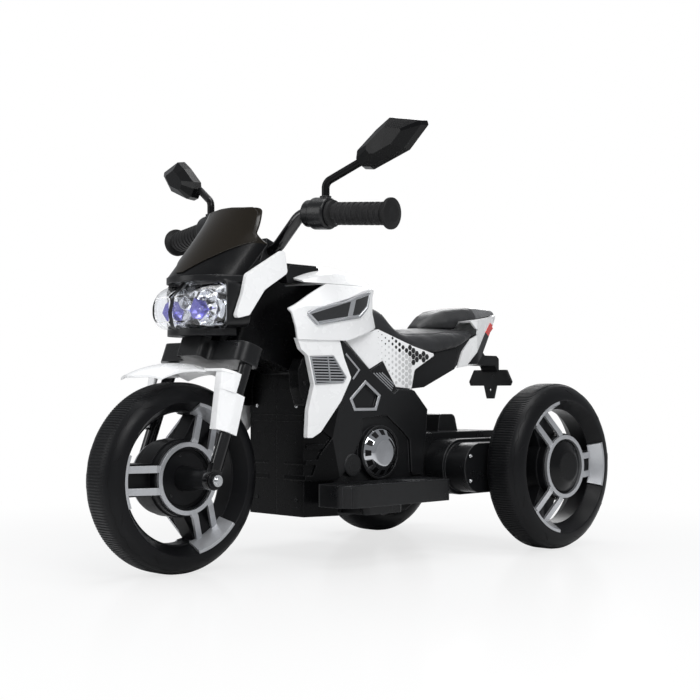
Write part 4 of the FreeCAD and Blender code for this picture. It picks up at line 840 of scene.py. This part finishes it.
# Body trim, in millimetres of the side view
WINDOW = [(10, 302.5), (-24.5, 279), (-15, 255.5), (35.5, 255.5), (45, 273.5)]
ANGLE = [(57, 350), (25, 323), (40, 307)]
GRILLE = [(142, 343), (90.5, 345), (61, 310), (67.5, 302), (130.5, 299)]
COVER = [(54, 376.5), (-8, 325), (-41, 340), (-75, 294), (-116, 291), (-124, 325), (-178, 352), (-120, 368),
         (-30, 395)]
CELL_PITCH = 10.5

# Faces that trim stands on, in metres: distances from the middle plane, and last the column's front
BODY_FACE = 0.094
STRIPE_FACE = 0.088
COVER_FACE = 0.0864
GRILLE_RIM_FACE = 0.0975
GRILLE_BAR_FACE = 0.0985
BRACKET_FACE = 0.0878
GEARBOX_FACE = 0.1764
COLUMN_FACE = 0.13

# The engine dome's middle, and the footrest's front corner, ribs and pedal, in metres
DOME = (-0.024, 0.0884, 0.1809)
CORNER_X = 0.105
CORNER_Y = 0.146
CORNER_RADII = (0.0225, 0.02596)
CORNER_HEIGHTS = (0.0972, 0.1325)
RIB_FOOT = 0.1336
RIB_TOP = 0.1351
PEDAL_REAR = -0.004

# The dash's bead: its height, the middle of a corner, the corner's radius and the rear end, in metres
BEAD_HEIGHT = 0.4985
BEAD_CORNER = (0.1345, 0.0305)
BEAD_TURN = 0.01
BEAD_REAR = 0.078


def inside(corners, x, z):
    """Whether a point of the side view lies within an outline."""
    found = False
    for (x0, z0), (x1, z1) in zip(corners, corners[1:] + corners[:1]):
        if (z0 > z) != (z1 > z) and x < x0 + (z - z0) / (z1 - z0) * (x1 - x0):
            found = not found
    return found


def prism_between(form, low, high):
    """A closed prism on two like rings of corners."""
    low = [form.verts.new(corner) for corner in low]
    high = [form.verts.new(corner) for corner in high]
    form.faces.new(low)
    form.faces.new(high)
    for i in range(len(low)):
        k = (i + 1) % len(low)
        form.faces.new((low[i], low[k], high[k], high[i]))


def honeycomb(name, y, out):
    """Six-sided cells that grow and close up towards the rear of a side cover."""
    forms = {"ink": bmesh.new(), "pale_ink": bmesh.new()}
    for column in range(17):
        x = -30 - column * CELL_PITCH * math.sqrt(3) / 2
        growth = min(max((-x - 18) / 100, 0.1), 1.0)
        size = 0.93 * CELL_PITCH / math.sqrt(3) * growth
        cover_top = 395 + (x + 30) * 0.285
        for row in range(12):
            z = 286 + (row + 0.5 * (column % 2)) * CELL_PITCH
            corners = []
            for corner in range(6):
                angle = math.radians(60 * corner)
                corners.append((x + size * math.cos(angle), z + size * math.sin(angle)))
            if not all(inside(COVER, *corner) for corner in corners):
                continue
            tone = "ink" if cover_top - z < 22 or x < -112 else "pale_ink"
            low = [(a / 1000, y - out * 0.0003, b / 1000) for a, b in corners]
            high = [(a / 1000, y + out * 0.00015, b / 1000) for a, b in corners]
            prism_between(forms[tone], low, high)
    for tone, form in forms.items():
        finished(form, f"{name}_{tone}", tone, "chassis")


def dome_vents(name, out):
    """Dark plates set round the slope of an engine dome: painted shade for its vents."""
    centre = Vector((DOME[0], out * DOME[1], DOME[2]))
    form = bmesh.new()
    count = 12
    for number in range(count):
        rings = []
        for lift in (-0.0008, 0.0003):
            ring = []
            for radius, y, turn in ((39.2, 10.2, -1), (39.2, 10.2, 1), (30.5, 16.7, 1), (30.5, 16.7, -1)):
                angle = 2 * math.pi * (number + 0.27 * turn) / count
                reach = radius / 1000 + lift * 0.6
                ring.append(around(centre, reach, angle, out * (y / 1000 + lift * 0.8)))
            rings.append(ring)
        prism_between(form, *rings)
    finished(form, name, "groove_shade", "chassis")


def step_ribs(name, out):
    """Low ribs across the top of a footrest, clear of the dome, and of the pedal on the right."""
    form = bmesh.new()
    near = out * 0.114
    far = out * 0.162
    corners = ((-1, near), (1, near), (1, far), (-1, far))
    for number in range(20):
        x = -0.114 + 0.0115 * number
        if out < 0 and x > PEDAL_REAR:
            continue
        base = [(x + a * 0.0021, y, RIB_FOOT) for a, y in corners]
        top = [(x + a * 0.0012, y, RIB_TOP) for a, y in corners]
        prism_between(form, base, top)
    finished(form, name, "fine", "chassis")


def step_corner(name, out):
    """The rounded front corner of a footrest, closed flush with its sides."""
    inner, outer = CORNER_RADII
    low, high = CORNER_HEIGHTS
    form = bmesh.new()
    rings = []
    steps = 14
    for step in range(steps + 1):
        angle = math.radians(-4 + 98 * step / steps)
        ring = []
        for radius, z in ((inner, low), (outer, low), (outer, high), (inner, high)):
            x = CORNER_X + radius * math.cos(angle)
            y = out * (CORNER_Y + radius * math.sin(angle))
            ring.append(form.verts.new((x, y, z)))
        rings.append(ring)
    join_rings(form, rings)
    finished(form, name, "black", "chassis")


def badge_rim(side, out):
    """A raised silver bead just inside the edge of a badge."""
    corners = [Vector(c) for c in BADGE]
    middle = sum(corners, Vector((0, 0))) / len(corners)
    inset = 4.6
    steps = 12
    tree = surface(NODES[f"badge_{side}"])
    points = []
    for start, end in zip(corners, corners[1:] + corners[:1]):
        for step in range(steps):
            place = start.lerp(end, step / steps)
            place = place + (middle - place).normalized() * inset
            origin = Vector((place.x / 1000, out * 0.2, place.y / 1000))
            hit = tree.ray_cast(origin, Vector((0, -out, 0)))[0]
            if hit:
                points.append(hit)
    tube(f"badge_rim_{side}", points, 0.0017, "silver", "chassis", True)


# The tail's rear edge and a line in from it, in the side view in millimetres
TAIL_EDGE = [(-402, 417.5), (-377, 393.5), (-335, 354.5), (-310, 338.5)]
TAIL_INNER = [(-388, 421), (-359, 401), (-315, 364), (-284, 338)]

# Heights at which the tail's side is met, behind places along it and then at its front
TAIL_LEVELS = ((-400, 428), (-345, 420), (-305, 372))
TAIL_FRONT_LEVEL = 350


def closed_plate(back, front):
    """A thin closed form between two like grids of points."""
    form = bmesh.new()
    back = [[form.verts.new(point) for point in line] for line in back]
    front = [[form.verts.new(point) for point in line] for line in front]
    for layer in (back, front):
        for first, second in zip(layer, layer[1:]):
            for k in range(len(first) - 1):
                form.faces.new((first[k], first[k + 1], second[k + 1], second[k]))
    edges = [(back[0], front[0]), (back[-1], front[-1])]
    edges += [([line[end] for line in back], [line[end] for line in front]) for end in (0, -1)]
    for one, two in edges:
        for k in range(len(one) - 1):
            form.faces.new((one[k], one[k + 1], two[k + 1], two[k]))
    return form


def tail_level(x):
    for limit, level in TAIL_LEVELS:
        if x < limit:
            return level
    return TAIL_FRONT_LEVEL


def tail_strip(name, out, first, last, material):
    """A thin plate along part of the rear edge of the tail's side."""
    tree = surface(NODES["tail_cover"])
    pairs = list(zip(TAIL_EDGE, TAIL_INNER))[first:last]
    steps = 8
    layers = []
    for rise in (-0.0004, 0.0010):
        layer = []
        for (edge, inner), (next_edge, next_inner) in zip(pairs, pairs[1:]):
            for step in range(1 if layer else 0, steps + 1):
                start = Vector(edge).lerp(Vector(next_edge), step / steps)
                end = Vector(inner).lerp(Vector(next_inner), step / steps)
                line = []
                for column in range(5):
                    x, z = start.lerp(end, column / 4)
                    origin = Vector((x / 1000, out * 0.2, tail_level(x) / 1000))
                    hit, normal = tree.ray_cast(origin, Vector((0, -out, 0)))[:2]
                    line.append(Vector((x / 1000, hit.y, z / 1000)) + normal * rise)
                layer.append(line)
        layers.append(layer)
    finished(closed_plate(*layers), name, material, "chassis")


def dash_rim(name):
    """A round bead along the front and sides of the dash."""
    front, middle = BEAD_CORNER
    points = [Vector((BEAD_REAR, middle + BEAD_TURN, BEAD_HEIGHT))]
    for across, start in ((middle, 90), (-middle, 0)):
        for step in range(9):
            angle = math.radians(start - 90 * step / 8)
            x = front + BEAD_TURN * math.cos(angle)
            y = across + BEAD_TURN * math.sin(angle)
            points.append(Vector((x, y, BEAD_HEIGHT)))
    points.append(Vector((BEAD_REAR, -middle - BEAD_TURN, BEAD_HEIGHT)))
    tube(name, points, 0.0032, "satin", "chassis")


def side_stripes(side, out):
    """Slanting silver lines between the window and the side cover."""
    away = Vector((-0.558, 0.83))
    along = Vector((-0.83, -0.558))
    for number in range(4):
        off = 4.5 + 4.2 * number
        start = Vector((-7, 319)) + away * off + along * (3 + 1.3 * off)
        end = Vector((-62, 282)) + away * off - along * (2 + 0.15 * off)
        ribbon(f"stripe_{side}_{number}", [start, end], out * STRIPE_FACE, 0.0019, 0.0009)


def side_screws(side, out):
    """Screws on the bracket, the gearbox and the front of the column."""
    radius = 0.0036
    across = (0, out, 0)
    # The bracket's hole is a near-black screw head: painted shade
    screw(f"bracket_hole_{side}", (0.147, out * BRACKET_FACE, 0.3), across, radius, "groove_shade", "chassis")
    for number, z in enumerate((0.172, 0.128)):
        place = (-0.172, out * GEARBOX_FACE, z)
        screw(f"gearbox_screw_{side}_{number}", place, across, radius, "steel", "chassis")
    for number, (z, finish) in enumerate(((0.105, "fine"), (0.262, "steel"))):
        place = (COLUMN_FACE, out * 0.05, z)
        screw(f"column_screw_{side}_{number}", place, (1, 0, 0), radius, finish, "chassis")


def dress_body():
    dash_rim("dash_rim")
    for side, out in SIDES:
        ribbon(f"window_frame_{side}", WINDOW, out * BODY_FACE, 0.0052, 0.0016, True)
        ribbon(f"angle_line_{side}", ANGLE, out * BODY_FACE, 0.0032, 0.001)
        side_stripes(side, out)
        honeycomb(f"cells_{side}", out * COVER_FACE, out)
        ribbon(f"grille_rim_{side}", GRILLE, out * GRILLE_RIM_FACE, 0.0022, 0.0022, True)
        ribbon(f"grille_bar_{side}", [(104, 345), (98, 301)], out * GRILLE_BAR_FACE, 0.002, 0.0016)
        side_screws(side, out)
        dome_vents(f"dome_vents_{side}", out)
        step_ribs(f"step_ribs_{side}", out)
        step_corner(f"step_corner_{side}", out)
        badge_rim(side, out)
        tail_strip(f"tail_lens_{side}", out, 0, 2, "red")
        tail_strip(f"tail_insert_{side}", out, 1, 4, "fine")
    # Two near-black lines across the column's front: painted shade for its grooves
    front = COLUMN_FACE + 0.0001
    for number, z in enumerate((0.236, 0.247)):
        points = [Vector((front, y, z)) for y in (-0.066, 0.066)]
        tube(f"column_line_{number}", points, 0.0008, "groove_shade", "chassis")


# Headlight, with the middle of each lobe
LAMP_SIDE = 0.038
LAMP_HEIGHT = 0.416


def lamp_bowl(name, out):
    """A violet six-sided bowl behind the lens."""
    form = bmesh.new()
    thick = 0.0012
    corners = [(14, 416), (28, 434), (50, 428), (60, 414), (44, 400), (24, 401)]
    back = form.verts.new((0.3145, out * LAMP_SIDE, LAMP_HEIGHT))
    rim = [form.verts.new((0.329 - abs(y - 30) * 0.00012, out * y / 1000, z / 1000)) for y, z in corners]
    edge = []
    for vertex in rim:
        x, y, z = vertex.co
        apart = out * thick * (1 if abs(y) > 0.036 else -1)
        edge.append(form.verts.new((x - thick, y + apart, z)))
    root = form.verts.new((0.3125, out * LAMP_SIDE, LAMP_HEIGHT))
    for i in range(6):
        k = (i + 1) % 6
        form.faces.new((back, rim[i], rim[k]))
        form.faces.new((rim[i], edge[i], edge[k], rim[k]))
        form.faces.new((edge[i], root, edge[k]))
    return finished(form, name, "violet", "steering", 10)


# The visor's half width at heights up the screen, in millimetres
VISOR = [(475, 8), (501, 44), (527, 76), (541, 69), (560, 66.5), (578, 64.5), (585, 56)]


def visor_plate(name):
    """A thin smoked plate laid on the screen, pointed at its foot and widest at mid height."""
    tree = surface(NODES["windscreen"])
    rows = []
    for (low, narrow), (high, wide) in zip(VISOR, VISOR[1:]):
        steps = max(2, round((high - low) / 4))
        for s in range(steps):
            rows.append((low + (high - low) * s / steps, narrow + (wide - narrow) * s / steps))
    rows.append(VISOR[-1])
    columns = 24
    layers = []
    for rise in (0.0002, 0.0020):
        layer = []
        for z, half in rows:
            line = []
            for column in range(columns + 1):
                y = half * (2 * column / columns - 1)
                origin = Vector((0.6, y / 1000, z / 1000))
                place, normal = tree.ray_cast(origin, Vector((-1, 0, 0)))[:2]
                line.append(place + normal * rise)
            layer.append(line)
        layers.append(layer)
    finished(closed_plate(*layers), name, "smoke", "steering")


def dress_lamp():
    visor_plate("visor_plate")
    for side, out in SIDES:
        lamp_bowl(f"lamp_bowl_{side}", out)
        form = bmesh.new()
        bmesh.ops.create_uvsphere(form, u_segments=20, v_segments=12, radius=0.0052)
        bmesh.ops.translate(form, vec=(0.32, out * LAMP_SIDE, LAMP_HEIGHT), verts=form.verts)
        finished(form, f"lamp_bulb_{side}", "clear", "steering", 80)


# Seat: where the pillion pad's grey end starts, and how deep the piping lies
CAP_START = -0.338
PIPING_SINK = 0.0004


def dress_seat():
    cushion = padded_piece("seat_cushion", "seat", "seat", 0.005, 0.004)
    pad = padded_piece("pillion_cushion", "pillion_pad", "pillion", 0.0045, 0.003)
    pad.data.materials.append(MATERIALS["cap"])
    for face in pad.data.polygons:
        if face.center.x < CAP_START:
            face.material_index = 1
    top = surface(cushion)
    for side, out in SIDES:
        points = []
        for step in range(38):
            x = -0.075 - 0.006 * step
            share = min((-x - 0.03) / 0.17, 1.0)
            y = out * (0.045 + 0.02 * share)
            hit = top.ray_cast(Vector((x, y, 0.6)), Vector((0, 0, -1)))[0]
            if hit:
                points.append(hit - Vector((0, 0, PIPING_SINK)))
        tube(f"seat_piping_{side}", points, 0.0011, "seat", "chassis")


make_camera()
make_stage()
finish_nodes()
finish_faces()
dress_wheels()
hub_details()
dress_body()
dress_lamp()
dress_seat()
